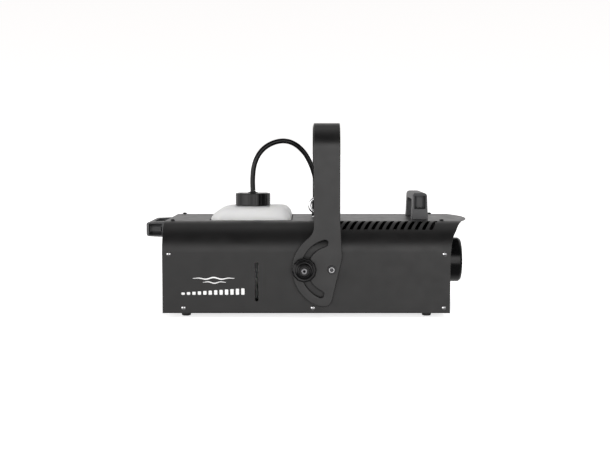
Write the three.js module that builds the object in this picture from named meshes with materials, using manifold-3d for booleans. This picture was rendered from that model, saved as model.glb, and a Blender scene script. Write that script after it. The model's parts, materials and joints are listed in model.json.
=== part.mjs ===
// A fog machine: a folded sheet-steel body on four rubber feet, with a fluid bottle, a pump, a
// heater and a nozzle, two carry handles and a tilting yoke that hangs it from a truss.
//
// Millimetres. +X is forward, the way the fog leaves, +Y is left and +Z is up. The origin is on
// the ground under the middle of the machine, with its yoke upright.

import * as THREE from 'three';
import { mergeVertices } from 'three/addons/utils/BufferGeometryUtils.js';
import Module from 'manifold-3d';

const wasm = await Module();
wasm.setup();

const rad = THREE.MathUtils.degToRad;

// ---------------------------------------------------------------------------------------------
// Driving dimensions
// ---------------------------------------------------------------------------------------------

const GAP = 0.3; // between two pieces that touch
const SHEET = 1.2; // steel sheet of the casing
const SIDES = { left: 1, right: -1 };

// The folded cover: outer faces.
const BODY = { rear: -202.7, front: 199, halfWidth: 113, bottom: 6, top: 133 };
const SHOULDER = { start: 91, radius: 46, lean: rad(28), bend: 36, steps: 5 };
const HOOD = { corner: 218.7, tip: 234.4 };
const VENT = { count: 16, first: 24.5, pitch: 10.2, width: 5.1, low: 122, lean: 10, inner: 79 };
const SIGHT_SLOT = { x: -71, low: 22.7, high: 77.2, width: 4.6 };

// The end panels and the tray that the cover is screwed to.
const REAR_PANEL = { face: -196.1, flange: 14 };
const FRONT_PANEL = { face: 194.4, flange: 14 };
const TRAY = { wall: 22, end: 4 };

// Casing screws: [x, z] on each side, and [x, y] on the top plate.
const SCREW = { shank: 1.5, hole: 2.1, head: 3.2, height: 2.3, length: 6 };
const SIDE_SCREWS = [[-193.1, 89], [-173.1, 13.7], [7.5, 13.6], [190.9, 89], [190.4, 13.7]];
const TOP_SCREWS = [[-192, 75], [-192, -75], [190.9, 75], [190.9, -75]];

const FOOT = { rear: -171.7, front: 168.4, y: 92, height: 6, top: 7.25, bottom: 6.1 };

// Nozzle end.
const NOZZLE_AXIS = 69.6;
const RING = { radius: 33, bore: 28.5, front: 227.9, lip: 2.2 };
const NOZZLE = { rear: 170.6, front: 203, radius: 5.5, flange: 8.5, bore: 1.6 };

// Fluid system.
const BOTTLE = { rear: -140, front: -23.2, halfWidth: 65, bottom: 9.2, top: 148, wall: 2 };
const NECK = { x: -81.3, radius: 20, bore: 17, top: 166 };
const CAP = { radius: 26, low: 150.7, high: 169.7, wall: 3, ribs: 18, hole: 6.4 };
const BAY = { clearance: 3, sheet: 1 };
const OPENING = { clearance: 1.2, corner: 8 };
const HOSE = { radius: 3.75, sides: 8, steps: 20 };
const INLET = { x: 13.8, y: 14, hexagon: 6, nutLow: 10.7, nutHigh: 23.7, height: 27, tail: 20 };
const LINE = { radius: 3, sides: 8, steps: 12 };

// Safety eye on the top plate.
const EYE = { x: 13.6, y: -18, z: 151.4, ring: 10.3, stock: 2.4, collar: 7, shank: 3 };

// Carry handle: long along its own Y, standing out along its own +Z.
const HANDLE = {
  length: 100, width: 23.4, topWidth: 20, height: 38, post: 15, grip: 9.5, base: 15.5,
};
const TOP_HANDLE_X = 162.8;
const REAR_HANDLE_Z = 118.6;

// Yoke: a strap bent to a U, with a lobe at each end. Lobe sizes are from the pivot.
const PIVOT = { x: 33.2, z: 68 };
const YOKE = { inner: 118, sheet: 3, top: 271, bend: 35, rear: -24.6, front: 11.9, hole: 5.5 };
const LOBE = { radius: 54.5, rise: 70, slotRadius: 37.8, slotWidth: 9, slotFrom: 104, slotTo: 247 };
const KNOB = { radius: 16.5, flange: 8.5, hub: 9.5, height: 19, proud: 22, flutes: 12 };
const STUD_ANGLE = 180;

// ---------------------------------------------------------------------------------------------
// Shape tools
// ---------------------------------------------------------------------------------------------

// Turns a closed geometry into a solid that can be joined and cut.
function solid(geometry) {
  geometry.deleteAttribute('normal');
  geometry.deleteAttribute('uv');
  const merged = mergeVertices(geometry, 1e-4);
  const faces = [];
  for (let i = 0; i < merged.index.count; i += 3) {
    const face = [0, 1, 2].map((k) => merged.index.getX(i + k));
    if (new Set(face).size === 3) faces.push(...face);
  }
  return new wasm.Manifold(new wasm.Mesh({
    numProp: 3,
    vertProperties: new Float32Array(merged.attributes.position.array),
    triVerts: new Uint32Array(faces),
  }));
}

const TO_X = new THREE.Matrix4().makeBasis(
  new THREE.Vector3(0, 1, 0),
  new THREE.Vector3(0, 0, 1),
  new THREE.Vector3(1, 0, 0),
);

// An outline drawn in the plane across an axis, (y, z), (x, z) or (x, y), pushed along that axis.
function prism(outline, axis, from, to, curveSegments = 6) {
  const shape = outline instanceof THREE.Shape ? outline : new THREE.Shape(outline);
  const geometry = new THREE.ExtrudeGeometry(shape, {
    depth: to - from,
    bevelEnabled: false,
    curveSegments,
  });
  if (axis === 'x') geometry.applyMatrix4(TO_X).translate(from, 0, 0);
  if (axis === 'y') geometry.rotateX(Math.PI / 2).translate(0, to, 0);
  if (axis === 'z') geometry.translate(0, 0, from);
  return solid(geometry);
}

// A profile of [radius, height] pairs turned about an axis that crosses the other two at centre.
function turned(profile, axis, centre = [0, 0], sides = 20) {
  const points = profile.map(([radius, height]) => new THREE.Vector2(radius, height));
  const geometry = new THREE.LatheGeometry(points, sides);
  if (axis === 'x') geometry.rotateZ(-Math.PI / 2).translate(0, ...centre);
  if (axis === 'y') geometry.translate(centre[0], 0, centre[1]);
  if (axis === 'z') geometry.rotateX(Math.PI / 2).translate(...centre, 0);
  return solid(geometry);
}

function rod(axis, centre, radius, from, to, sides = 20) {
  return turned([[0, from], [radius, from], [radius, to], [0, to]], axis, centre, sides);
}

function block([x0, x1], [y0, y1], [z0, z1]) {
  const geometry = new THREE.BoxGeometry(x1 - x0, y1 - y0, z1 - z0);
  return solid(geometry.translate((x0 + x1) / 2, (y0 + y1) / 2, (z0 + z1) / 2));
}

// A round tube through points, without ends that open.
function tube(points, { radius, sides, steps }) {
  const section = Array.from({ length: sides }, (_, i) => {
    const angle = (2 * Math.PI * i) / sides;
    return new THREE.Vector2(radius * Math.cos(angle), radius * Math.sin(angle));
  });
  const extrudePath = new THREE.CatmullRomCurve3(points.map((p) => new THREE.Vector3(...p)));
  return solid(new THREE.ExtrudeGeometry(new THREE.Shape(section), { steps, extrudePath }));
}

function arc(x, y, radius, from, to, steps) {
  return Array.from({ length: steps + 1 }, (_, i) => {
    const angle = from + ((to - from) * i) / steps;
    return new THREE.Vector2(x + radius * Math.cos(angle), y + radius * Math.sin(angle));
  });
}

// A closed outline through corners, [x, y, radius], with each corner rounded to its radius.
function rounded(corners, steps = 4) {
  const points = corners.map(([x, y]) => new THREE.Vector2(x, y));
  return corners.flatMap(([, , radius = 0], i) => {
    const at = points[i];
    if (!radius) return [at];
    const back = points.at(i - 1).clone().sub(at).normalize();
    const on = points[(i + 1) % points.length].clone().sub(at).normalize();
    const half = back.angleTo(on) / 2;
    const middle = back.clone().add(on).setLength(radius / Math.sin(half));
    const centre = at.clone().add(middle);
    const start = at.clone().addScaledVector(back, radius / Math.tan(half)).sub(centre);
    const turn = Math.sign(on.cross(back)) * (Math.PI - 2 * half);
    return arc(centre.x, centre.y, radius, start.angle(), start.angle() + turn, steps);
  });
}

function roundedBox(halfX, halfY, radius, steps) {
  const corner = (x, y) => [x * halfX, y * halfY, radius];
  return rounded([corner(1, 1), corner(-1, 1), corner(-1, -1), corner(1, -1)], steps);
}

const joined = (parts) => parts.reduce((whole, part) => whole.add(part));
const cut = (whole, parts) => parts.reduce((rest, part) => rest.subtract(part), whole);
const moved = (outline, dx, dy) => outline.map((p) => new THREE.Vector2(p.x + dx, p.y + dy));

// ---------------------------------------------------------------------------------------------
// Materials
// ---------------------------------------------------------------------------------------------

function material(color, roughness, metalness) {
  return new THREE.MeshStandardMaterial({ color, roughness, metalness });
}

const LOOKS = {
  casing: material(0x3a3a3b, 0.55, 0.3),
  bracket: material(0x3f3f40, 0.5, 0.3),
  moulding: material(0x4a4b4d, 0.6, 0),
  blackPlastic: material(0x141415, 0.35, 0),
  rubber: material(0x0f0f10, 0.85, 0),
  hose: material(0x121213, 0.3, 0),
  bottle: material(0xe4e6e8, 0.4, 0),
  neckRing: material(0x9a9c9e, 0.5, 0),
  screw: material(0x1d1d1e, 0.35, 0.8),
  zinc: material(0xc9cbcd, 0.25, 1),
  steel: material(0x9c9ea0, 0.4, 1),
  brass: material(0xb5924a, 0.35, 1),
  aluminium: material(0xb9bbbd, 0.45, 1),
  insulation: material(0xd8d2c0, 0.95, 0),
  nylon: material(0xdedbd2, 0.5, 0),
  board: material(0x1f5a38, 0.6, 0),
};

const machine = new THREE.Group();

// Adds a solid to the machine as a named mesh.
function add(name, shape, look, position = [0, 0, 0], rotation = [0, 0, 0]) {
  const { vertProperties, triVerts } = shape.getMesh();
  const geometry = new THREE.BufferGeometry();
  geometry.setAttribute('position', new THREE.BufferAttribute(vertProperties, 3));
  geometry.setIndex(new THREE.BufferAttribute(triVerts, 1));
  geometry.computeVertexNormals();
  const mesh = new THREE.Mesh(geometry, look);
  mesh.name = name;
  mesh.position.set(...position);
  mesh.rotation.set(...rotation);
  machine.add(mesh);
}

// Turns a piece that points along +Z so that it points out of the left or the right side.
const outward = (side) => [side * -Math.PI / 2, 0, 0];

// ---------------------------------------------------------------------------------------------
// Casing
// ---------------------------------------------------------------------------------------------

// Half-width of the flat top plate, where the shoulder's bend meets it.
const FLAT_TOP = (() => {
  const { start, radius, lean, bend } = SHOULDER;
  const slopeY = BODY.halfWidth - radius * (1 - Math.cos(lean));
  const rise = BODY.top - start - radius * Math.sin(lean);
  return slopeY - rise * Math.tan(lean) - bend * Math.tan((Math.PI / 2 - lean) / 2);
})();

// The cover's section from its left bottom edge over the top to its right one, set in by inset.
function coverLine(inset, bottom = BODY.bottom) {
  const { start, radius, lean, bend, steps } = SHOULDER;
  const left = [
    new THREE.Vector2(BODY.halfWidth - inset, bottom),
    ...arc(BODY.halfWidth - radius, start, radius - inset, 0, lean, steps),
    ...arc(FLAT_TOP, BODY.top - bend, bend - inset, lean, Math.PI / 2, steps),
  ];
  const right = left.map((p) => new THREE.Vector2(-p.x, p.y)).reverse();
  return [...left, ...right];
}

const sheetSection = (inset, bottom) => [
  ...coverLine(inset, bottom),
  ...coverLine(inset + SHEET, bottom).reverse(),
];

// The side view of the front edge: upright, then swept forward under the hood.
function sideView() {
  const shape = new THREE.Shape();
  shape.moveTo(BODY.rear, BODY.bottom);
  shape.lineTo(BODY.front, BODY.bottom);
  shape.lineTo(BODY.front, BODY.top - 58);
  shape.bezierCurveTo(198.8, BODY.top - 30, 202, BODY.top - 21, 207.5, BODY.top - 13);
  shape.bezierCurveTo(211, BODY.top - 6.5, 212, BODY.top - 3, HOOD.corner, BODY.top);
  shape.lineTo(BODY.rear, BODY.top);
  return shape;
}

// The plan of the hood: a shallow arch between the corners of the flat top.
function hoodPlan() {
  const shape = new THREE.Shape();
  shape.moveTo(BODY.rear, -FLAT_TOP);
  shape.lineTo(HOOD.corner, -FLAT_TOP);
  shape.quadraticCurveTo(2 * HOOD.tip - HOOD.corner, 0, HOOD.corner, FLAT_TOP);
  shape.lineTo(BODY.rear, FLAT_TOP);
  return shape;
}

function bottleOpening() {
  const halfX = (BOTTLE.front - BOTTLE.rear) / 2 + OPENING.clearance;
  const halfY = BOTTLE.halfWidth + OPENING.clearance;
  const outline = roundedBox(halfX, halfY, OPENING.corner);
  return moved(outline, (BOTTLE.front + BOTTLE.rear) / 2, 0);
}

// Slots that lean forward and wrap the bend between the shoulder and the top plate.
function ventCutters(side) {
  const low = VENT.low;
  const high = BODY.top + 1;
  const reach = VENT.lean * ((high - low) / (BODY.top - low));
  const across = [VENT.inner, BODY.halfWidth].map((y) => side * y).sort((a, b) => a - b);
  return Array.from({ length: VENT.count }, (_, i) => {
    const x = VENT.first + i * VENT.pitch - VENT.lean / 2;
    const outline = [
      [x - VENT.width / 2, low],
      [x + VENT.width / 2, low],
      [x + VENT.width / 2 + reach, high],
      [x - VENT.width / 2 + reach, high],
    ].map(([u, v]) => new THREE.Vector2(u, v));
    return prism(outline, 'y', ...across);
  });
}

function screwHoles() {
  const outside = BODY.halfWidth + 1;
  return [
    ...SIDE_SCREWS.map((at) => rod('y', at, SCREW.hole, -outside, outside, 8)),
    ...TOP_SCREWS.map((at) => rod('z', at, SCREW.hole, BODY.top - 6, BODY.top + 1, 8)),
  ];
}

const stud = {
  x: PIVOT.x + LOBE.slotRadius * Math.cos(rad(STUD_ANGLE)),
  z: PIVOT.z + LOBE.slotRadius * Math.sin(rad(STUD_ANGLE)),
};

function coverShell() {
  const { rear, top, halfWidth } = BODY;
  const flatPlate = prism(hoodPlan(), 'z', top - SHEET - 0.1, top + 1, 16);
  const outline = prism(sideView(), 'y', -halfWidth - 1, halfWidth + 1, 8).add(flatPlate);
  const folded = prism(sheetSection(0), 'x', rear, HOOD.tip + 1).intersect(outline);
  const slotMiddle = (SIGHT_SLOT.low + SIGHT_SLOT.high) / 2;
  const slotHalf = (SIGHT_SLOT.high - SIGHT_SLOT.low) / 2;
  const slot = roundedBox(SIGHT_SLOT.width / 2, slotHalf, SIGHT_SLOT.width / 2 - 0.05, 3);
  return cut(folded, [
    ...Object.values(SIDES).flatMap(ventCutters),
    ...screwHoles(),
    prism(bottleOpening(), 'z', top - 3, top + 1),
    prism(moved(slot, SIGHT_SLOT.x, slotMiddle), 'y', -halfWidth - 1, 2 - halfWidth),
    rod('y', [PIVOT.x, PIVOT.z], 3.4, -halfWidth - 1, halfWidth + 1, 12),
    rod('y', [stud.x, stud.z], 3.4, -halfWidth - 1, halfWidth + 1, 12),
    rod('z', [EYE.x, EYE.y], EYE.shank + 0.4, top - 3, top + 1, 12),
    rod('z', [INLET.x, INLET.y], 5, top - 3, top + 1, 12),
  ]);
}

// The tray's floor and its two upturned sides.
function baseTray() {
  const outer = BODY.halfWidth - SHEET - GAP;
  const floor = BODY.bottom + SHEET;
  const outline = [
    [outer, BODY.bottom],
    [outer, TRAY.wall],
    [outer - SHEET, TRAY.wall],
    [outer - SHEET, floor],
    [SHEET - outer, floor],
    [SHEET - outer, TRAY.wall],
    [-outer, TRAY.wall],
    [-outer, BODY.bottom],
  ].map(([y, z]) => new THREE.Vector2(y, z));
  return cut(prism(outline, 'x', BODY.rear + TRAY.end, BODY.front - TRAY.end), screwHoles());
}

// A flanged end panel. Its plate's outer face is at x, and its flange runs inward.
function endPanel({ face, flange }, cutters) {
  const inward = -Math.sign(face);
  const spanOf = (depth) => [face, face + inward * depth].sort((a, b) => a - b);
  const inset = SHEET + GAP;
  const floor = BODY.bottom + SHEET + GAP;
  const inTray = BODY.halfWidth - 2 * (SHEET + GAP);
  const aboveTray = TRAY.wall + GAP;
  const plate = prism(coverLine(inset, floor), 'x', ...spanOf(SHEET));
  const rim = prism(sheetSection(inset, aboveTray), 'x', ...spanOf(flange));
  const trayRoom = Object.values(SIDES).map((side) => {
    const across = [inTray, BODY.halfWidth].map((y) => side * y).sort((a, b) => a - b);
    return block(spanOf(flange), across, [floor - 1, aboveTray]);
  });
  return cut(plate.add(rim), [...trayRoom, ...screwHoles(), ...cutters]);
}

// A pan-head screw that stands on z = 0, pointing up.
function casingScrew() {
  const { shank, head, height, length } = SCREW;
  return turned([
    [0, -length],
    [shank, -length],
    [shank, GAP],
    [head, GAP],
    [head, 0.45 * height],
    [0.72 * head, 0.9 * height],
    [0, height],
  ], 'z', [0, 0], 10);
}

function foot() {
  const { height, top, bottom } = FOOT;
  return turned([[0, 0], [bottom, 0], [top, height - GAP], [0, height - GAP]], 'z', [0, 0], 12);
}

// ---------------------------------------------------------------------------------------------
// Nozzle end
// ---------------------------------------------------------------------------------------------

function nozzleRing() {
  const { radius, bore, front, lip } = RING;
  const rear = FRONT_PANEL.face + GAP;
  const mid = (radius + bore) / 2;
  return turned([
    [bore, rear],
    [radius, rear],
    [radius, front - lip],
    [radius - 0.3 * lip, front - 0.3 * lip],
    [mid, front],
    [bore + 0.3 * lip, front - 0.3 * lip],
    [bore, front - lip],
    [bore, rear],
  ], 'x', [0, NOZZLE_AXIS], 28);
}

function nozzle() {
  const { rear, front, radius, flange, bore } = NOZZLE;
  return turned([
    [bore, rear],
    [radius, rear],
    [radius, front - 9],
    [flange, front - 9],
    [flange, front - 4],
    [radius - 1, front],
    [bore, front],
    [bore, rear],
  ], 'x', [0, NOZZLE_AXIS], 12);
}

const HEATER = { rear: 44, front: 170, half: 30, wool: 12 };

function heaterBlock() {
  const { rear, front, half } = HEATER;
  return prism(moved(roundedBox(half, half, 6, 2), 0, NOZZLE_AXIS), 'x', rear, front);
}

function heaterInsulation() {
  const { rear, front, half, wool } = HEATER;
  const sleeve = (size, radius) => moved(roundedBox(size, size, radius, 2), 0, NOZZLE_AXIS);
  const outer = prism(sleeve(half + wool, 10), 'x', rear + 6, front - 4);
  return outer.subtract(prism(sleeve(half + GAP, 6), 'x', rear, front));
}

// ---------------------------------------------------------------------------------------------
// Fluid system
// ---------------------------------------------------------------------------------------------

// The bottle's outer form, set in by inset: one rounded outline along each of the three axes.
function bottleForm(inset) {
  const [x0, x1] = [BOTTLE.rear + inset, BOTTLE.front - inset];
  const [z0, z1] = [BOTTLE.bottom + inset, BOTTLE.top - inset];
  const half = BOTTLE.halfWidth - inset;
  const side = rounded([
    [x1, z0, 8 - inset],
    [x1, z1, 14 - inset],
    [x0, z1, 28 - inset],
    [x0, z0, 8 - inset],
  ], 5);
  const end = rounded([
    [half, z0, 8 - inset],
    [half, z1, 20 - inset],
    [-half, z1, 20 - inset],
    [-half, z0, 8 - inset],
  ], 5);
  const plan = moved(roundedBox((x1 - x0) / 2, half, 16 - inset, 4), (x0 + x1) / 2, 0);
  return prism(side, 'y', -half, half)
    .intersect(prism(end, 'x', x0, x1))
    .intersect(prism(plan, 'z', z0, z1));
}

function fluidBottle() {
  const outer = bottleForm(0).add(rod('z', [NECK.x, 0], NECK.radius, BOTTLE.top - 6, NECK.top));
  const inner = bottleForm(BOTTLE.wall);
  return cut(outer, [inner, rod('z', [NECK.x, 0], NECK.bore, BOTTLE.top - 8, NECK.top + 1)]);
}

function neckRing() {
  const [low, high] = [BOTTLE.top + GAP, CAP.low - GAP];
  const [inner, outer] = [NECK.radius + GAP, CAP.radius - 1.2];
  return turned([
    [inner, low], [outer, low], [outer, high], [inner, high], [inner, low],
  ], 'z', [NECK.x, 0], 18);
}

// An upturned cup with flat ribs all round and a hole for the hose.
function bottleCap() {
  const { radius, low, high, wall, ribs, hole } = CAP;
  return turned([
    [hole, high - wall],
    [radius - wall, high - wall],
    [radius - wall, low],
    [radius, low],
    [radius, high - 1],
    [radius - 1, high],
    [hole, high],
    [hole, high - wall],
  ], 'z', [NECK.x, 0], ribs);
}

function capGrommet() {
  const barrel = CAP.hole - 2 * GAP;
  return turned([
    [0, CAP.high - 6],
    [barrel, CAP.high - 6],
    [barrel, CAP.high + GAP],
    [CAP.hole + 1.4, CAP.high + GAP],
    [CAP.hole + 1.4, CAP.high + 1.6],
    [HOSE.radius + 0.8, CAP.high + 2.6],
    [0, CAP.high + 2.6],
  ], 'z', [NECK.x, 0], 12);
}

// The hose rises from the cap, arches over and comes down to the inlet on the top plate.
const HOSE_ROUTE = [
  [NECK.x, 0, CAP.high + 2.6 + GAP],
  [-81.7, 0, 184],
  [-81.4, 0.1, 195],
  [-80.1, 0.4, 206.5],
  [-77.1, 0.9, 217.4],
  [-72.2, 1.6, 227],
  [-65.5, 2.5, 235],
  [-57.2, 3.5, 240.9],
  [-47.6, 4.5, 244.9],
  [-37.4, 5.6, 246.6],
  [-27.2, 6.7, 245.4],
  [-17.4, 7.9, 240.9],
  [-8.6, 9.1, 233.5],
  [-1.4, 10.2, 224.3],
  [4.4, 11.1, 213.3],
  [8.9, 12, 201.4],
  [12, 12.8, 188.8],
  [13.5, 13.5, 175.5],
  [INLET.x, INLET.y, BODY.top + INLET.height + 2 * GAP],
];

// A barbed fitting: a hexagon on the plate, a gland nut above it and a tail below the plate.
function hoseInlet() {
  const { x, y, hexagon, nutLow, nutHigh, height, tail } = INLET;
  const foot = BODY.top + GAP;
  const body = turned([
    [0, foot - tail],
    [3.2, foot - tail],
    [4.6, foot - 5],
    [4.6, foot + 1],
    [5.6, foot + 1],
    [5.6, foot + nutLow],
    [7.2, foot + nutLow],
    [7.2, foot + nutHigh],
    [4.8, foot + height],
    [0, foot + height],
  ], 'z', [x, y], 12);
  return rod('z', [x, y], 7.2, foot, foot + hexagon, 6).add(body);
}

function tankBay() {
  const { clearance, sheet } = BAY;
  const [x0, x1] = [BOTTLE.rear - clearance, BOTTLE.front + clearance];
  const half = BOTTLE.halfWidth + clearance;
  const floor = BODY.bottom + SHEET + GAP;
  const top = BODY.top - SHEET - GAP;
  const outer = block([x0 - sheet, x1 + sheet], [-half - sheet, half + sheet], [floor, top]);
  const window = block(
    [SIGHT_SLOT.x - 5, SIGHT_SLOT.x + 5],
    [-half - 2 * sheet, 1 - half],
    [SIGHT_SLOT.low - 2, SIGHT_SLOT.high + 2],
  );
  return cut(outer, [block([x0, x1], [-half, half], [floor + sheet, top + 1]), window]);
}

const PUMP = { x: 10, z: 45, radius: 17, left: 25, right: -35, stub: 10, stubRadius: 4 };

function pump() {
  const { x, z, radius, left, right, stub, stubRadius } = PUMP;
  const body = rod('y', [x, z], radius, right, left);
  const spindle = rod('y', [x, z], stubRadius, right - stub, left + stub, 12);
  const coil = block([x - 19, x + 19], [right + 14, left - 14], [z - 21, z + 21]);
  const floor = BODY.bottom + SHEET + GAP;
  const bracket = block([x - 12, x + 12], [right + 20, left - 20], [floor, z - 10]);
  return joined([body, spindle, coil, bracket]);
}

const PUMP_INLET_ROUTE = [
  [INLET.x, INLET.y, BODY.top - INLET.tail],
  [INLET.x, INLET.y, 106],
  [14.4, 18, 96],
  [14.6, 34, 82],
  [13.4, 56, 67],
  [11, 61, 52],
  [PUMP.x, 50, PUMP.z],
  [PUMP.x, PUMP.left + PUMP.stub + GAP, PUMP.z],
];

const PUMP_OUTLET_ROUTE = [
  [PUMP.x, PUMP.right - PUMP.stub - GAP, PUMP.z],
  [10, -58, 46],
  [16, -66, 52],
  [25, -55, 58],
  [30, -32, 62],
  [36, -14, 62],
  [HEATER.rear - 2 * GAP, -14, 62],
];

// ---------------------------------------------------------------------------------------------
// Rear panel fittings
// ---------------------------------------------------------------------------------------------

const FITTINGS_Z = 50;
const MAINS = { y: -62, width: 30, height: 48, flange: 3, depth: 26 };
const SOCKET = { halfY: 11.5, halfZ: 8, up: 8, depth: 16 };
const FUSE = { halfY: 10, halfZ: 4.5, down: 13, depth: 20 };
const SWITCH = { y: -14, width: 24, height: 31, flange: 2, depth: 22, radius: 12.2, tilt: 12 };
const REMOTE = { y: 40, radius: 8.5, depth: 12, plate: 15, flange: 2.5 };

const rearFace = REAR_PANEL.face - GAP; // fittings stand on this plane
const toRear = (from, to) => [rearFace - to, rearFace - from]; // depths measured rearward

function mainsCutout() {
  const half = MAINS.width / 2 - 2;
  const halfZ = MAINS.height / 2 - 3;
  return block(
    [REAR_PANEL.face - 1, REAR_PANEL.face + 2],
    [MAINS.y - half, MAINS.y + half],
    [FITTINGS_Z - halfZ, FITTINGS_Z + halfZ],
  );
}

// An inlet with three blades in its socket and a pocket for the fuse drawer below it.
function mainsInlet() {
  const { y, width, height, flange, depth } = MAINS;
  const z = FITTINGS_Z;
  const outline = moved(roundedBox(width / 2, height / 2, 3, 3), y, z);
  const plate = prism(outline, 'x', ...toRear(0, flange));
  const half = width / 2 - 2 - GAP;
  const halfZ = height / 2 - 3 - GAP;
  const body = block(toRear(-depth, 0.1), [y - half, y + half], [z - halfZ, z + halfZ]);
  const { halfY, halfZ: socketZ, up } = SOCKET;
  const socket = block(
    toRear(flange - SOCKET.depth, flange + 1),
    [y - halfY, y + halfY],
    [z + up - socketZ, z + up + socketZ],
  );
  const pocket = block(
    toRear(flange - FUSE.depth - 1, flange + 1),
    [y - FUSE.halfY - GAP, y + FUSE.halfY + GAP],
    [z - FUSE.down - FUSE.halfZ - GAP, z - FUSE.down + FUSE.halfZ + GAP],
  );
  const blades = [[-7, -1.5], [0, 2.5], [7, -1.5]].map(([dy, dz]) => block(
    toRear(flange - SOCKET.depth - 0.5, flange - 6),
    [y + dy - 1, y + dy + 1],
    [z + up + dz - 2, z + up + dz + 2],
  ));
  return joined([cut(plate.add(body), [socket, pocket]), ...blades]);
}

function fuseDrawer() {
  const { halfY, halfZ, down, depth } = FUSE;
  const z = FITTINGS_Z - down;
  const tray = block(
    toRear(MAINS.flange - depth, MAINS.flange),
    [MAINS.y - halfY, MAINS.y + halfY],
    [z - halfZ, z + halfZ],
  );
  const pull = block(
    toRear(MAINS.flange - 1, MAINS.flange + 2),
    [MAINS.y - 5, MAINS.y + 5],
    [z - 1.5, z + 1.5],
  );
  return tray.add(pull);
}

function switchCutout() {
  const half = SWITCH.width / 2 - 1;
  const halfZ = SWITCH.height / 2 - 1.5;
  return block(
    [REAR_PANEL.face - 1, REAR_PANEL.face + 2],
    [SWITCH.y - half, SWITCH.y + half],
    [FITTINGS_Z - halfZ, FITTINGS_Z + halfZ],
  );
}

// A housing that is open to the rear, with room for the rocker to swing.
function switchFrame() {
  const { y, width, height, flange, depth, radius } = SWITCH;
  const z = FITTINGS_Z;
  const outline = moved(roundedBox(width / 2, height / 2, 2, 2), y, z);
  const plate = prism(outline, 'x', ...toRear(0, flange));
  const half = width / 2 - 1 - GAP;
  const halfZ = height / 2 - 1.5 - GAP;
  const body = block(toRear(-depth, 0.1), [y - half, y + half], [z - halfZ, z + halfZ]);
  const room = block(
    toRear(2 - depth, flange + 1),
    [y - half + 1.5, y + half - 1.5],
    [z - radius - GAP, z + radius + GAP],
  );
  return plate.add(body).subtract(room);
}

const ROCKER_AXIS = rearFace + 4; // the x of the rocker's pivot line

// A dished rocker about its pivot line, pressed in at its lower end.
function powerRocker() {
  const { radius, tilt, width } = SWITCH;
  const face = -8.5;
  const dish = -6.5;
  const end = Math.sqrt(radius ** 2 - face ** 2);
  const back = [4, 6];
  const outline = [
    [face, end],
    back,
    [back[0], -back[1]],
    [face, -end],
    [dish, 0],
  ].map(([x, z]) => new THREE.Vector2(x, z).rotateAround(new THREE.Vector2(), rad(tilt)));
  const half = width / 2 - 4;
  const placed = moved(outline, ROCKER_AXIS, FITTINGS_Z);
  return prism(placed, 'y', SWITCH.y - half, SWITCH.y + half);
}

const remoteCutout = () => rod(
  'x', [REMOTE.y, FITTINGS_Z], REMOTE.radius + 3, REAR_PANEL.face - 1, REAR_PANEL.face + 2, 20,
);

function remoteSocket() {
  const { y, radius, depth, plate, flange } = REMOTE;
  const centre = [y, FITTINGS_Z];
  const outline = moved(roundedBox(plate, plate, 3, 3), ...centre);
  const face = prism(outline, 'x', ...toRear(0, flange));
  const barrel = rod('x', centre, radius + 3 - GAP, ...toRear(-depth - 4, 0.1));
  const bore = rod('x', centre, radius, ...toRear(-depth, flange + 1));
  const pins = [72, 144, 216, 288, 0].map((angle) => rod(
    'x',
    [y + 5 * Math.sin(rad(angle)), FITTINGS_Z + 5 * Math.cos(rad(angle))],
    0.9,
    ...toRear(-depth - 0.5, -2),
    6,
  ));
  return joined([face.add(barrel).subtract(bore), ...pins]);
}

const BOARD = { x: -160, halfY: 48, low: 18, high: 96, sheet: 1.6 };

// The board, with a relay, a transformer and a capacitor on its forward face.
function controlBoard() {
  const { x, halfY, low, high, sheet } = BOARD;
  const front = x + sheet;
  const plate = block([x, front], [-halfY, halfY], [low, high]);
  const relay = block([front - 0.1, front + 11], [-36, -20], [30, 52]);
  const transformer = block([front - 0.1, front + 12], [-6, 26], [36, 66]);
  const capacitor = rod('x', [-28, 76], 6, front - 0.1, front + 11, 12);
  return joined([plate, relay, transformer, capacitor]);
}

// ---------------------------------------------------------------------------------------------
// Handles, eye bolt and yoke
// ---------------------------------------------------------------------------------------------

// A bridge handle on z = 0: two posts, a grip between them and a pocket in each post's end.
function handle() {
  const { length, width, topWidth, height, post, grip, base } = HANDLE;
  const half = length / 2;
  const inner = half - post;
  const bridge = rounded([
    [half, 0, 0],
    [half, height, 7],
    [-half, height, 7],
    [-half, 0, 0],
    [-inner, 0, 0],
    [-inner, height - grip, 6],
    [inner, height - grip, 6],
    [inner, 0, 0],
  ], 4);
  const across = rounded([
    [width / 2, 0, 0],
    [topWidth / 2, height, 7],
    [-topWidth / 2, height, 7],
    [-width / 2, 0, 0],
  ], 4);
  const body = prism(bridge, 'x', -width / 2, width / 2)
    .intersect(prism(across, 'y', -half, half));
  const pocket = (y0, y1) => block([3 - topWidth / 2, topWidth / 2 - 3], [y0, y1], [base, height - 6]);
  return cut(body, [pocket(half - 4, half + 1), pocket(-half - 1, 4 - half)]);
}

function eyeBolt() {
  const { x, y, z, ring, stock, collar, shank } = EYE;
  const torus = new THREE.TorusGeometry(ring, stock, 6, 20).rotateX(Math.PI / 2);
  const eye = solid(torus.translate(x, y, z));
  const foot = BODY.top + GAP;
  const stem = turned([
    [0, foot - 16],
    [shank, foot - 16],
    [shank, foot],
    [collar, foot],
    [collar, foot + 1.8],
    [stock + 0.6, foot + 5],
    [stock + 0.6, z - ring],
    [0, z - ring],
  ], 'z', [x, y], 12);
  return eye.add(stem);
}

function eyeBoltNut() {
  const high = BODY.top - SHEET - GAP;
  const centre = [EYE.x, EYE.y];
  const bore = rod('z', centre, EYE.shank + GAP, high - 6, high + 1, 12);
  return rod('z', centre, 6.2, high - 5, high, 6).subtract(bore);
}

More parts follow.
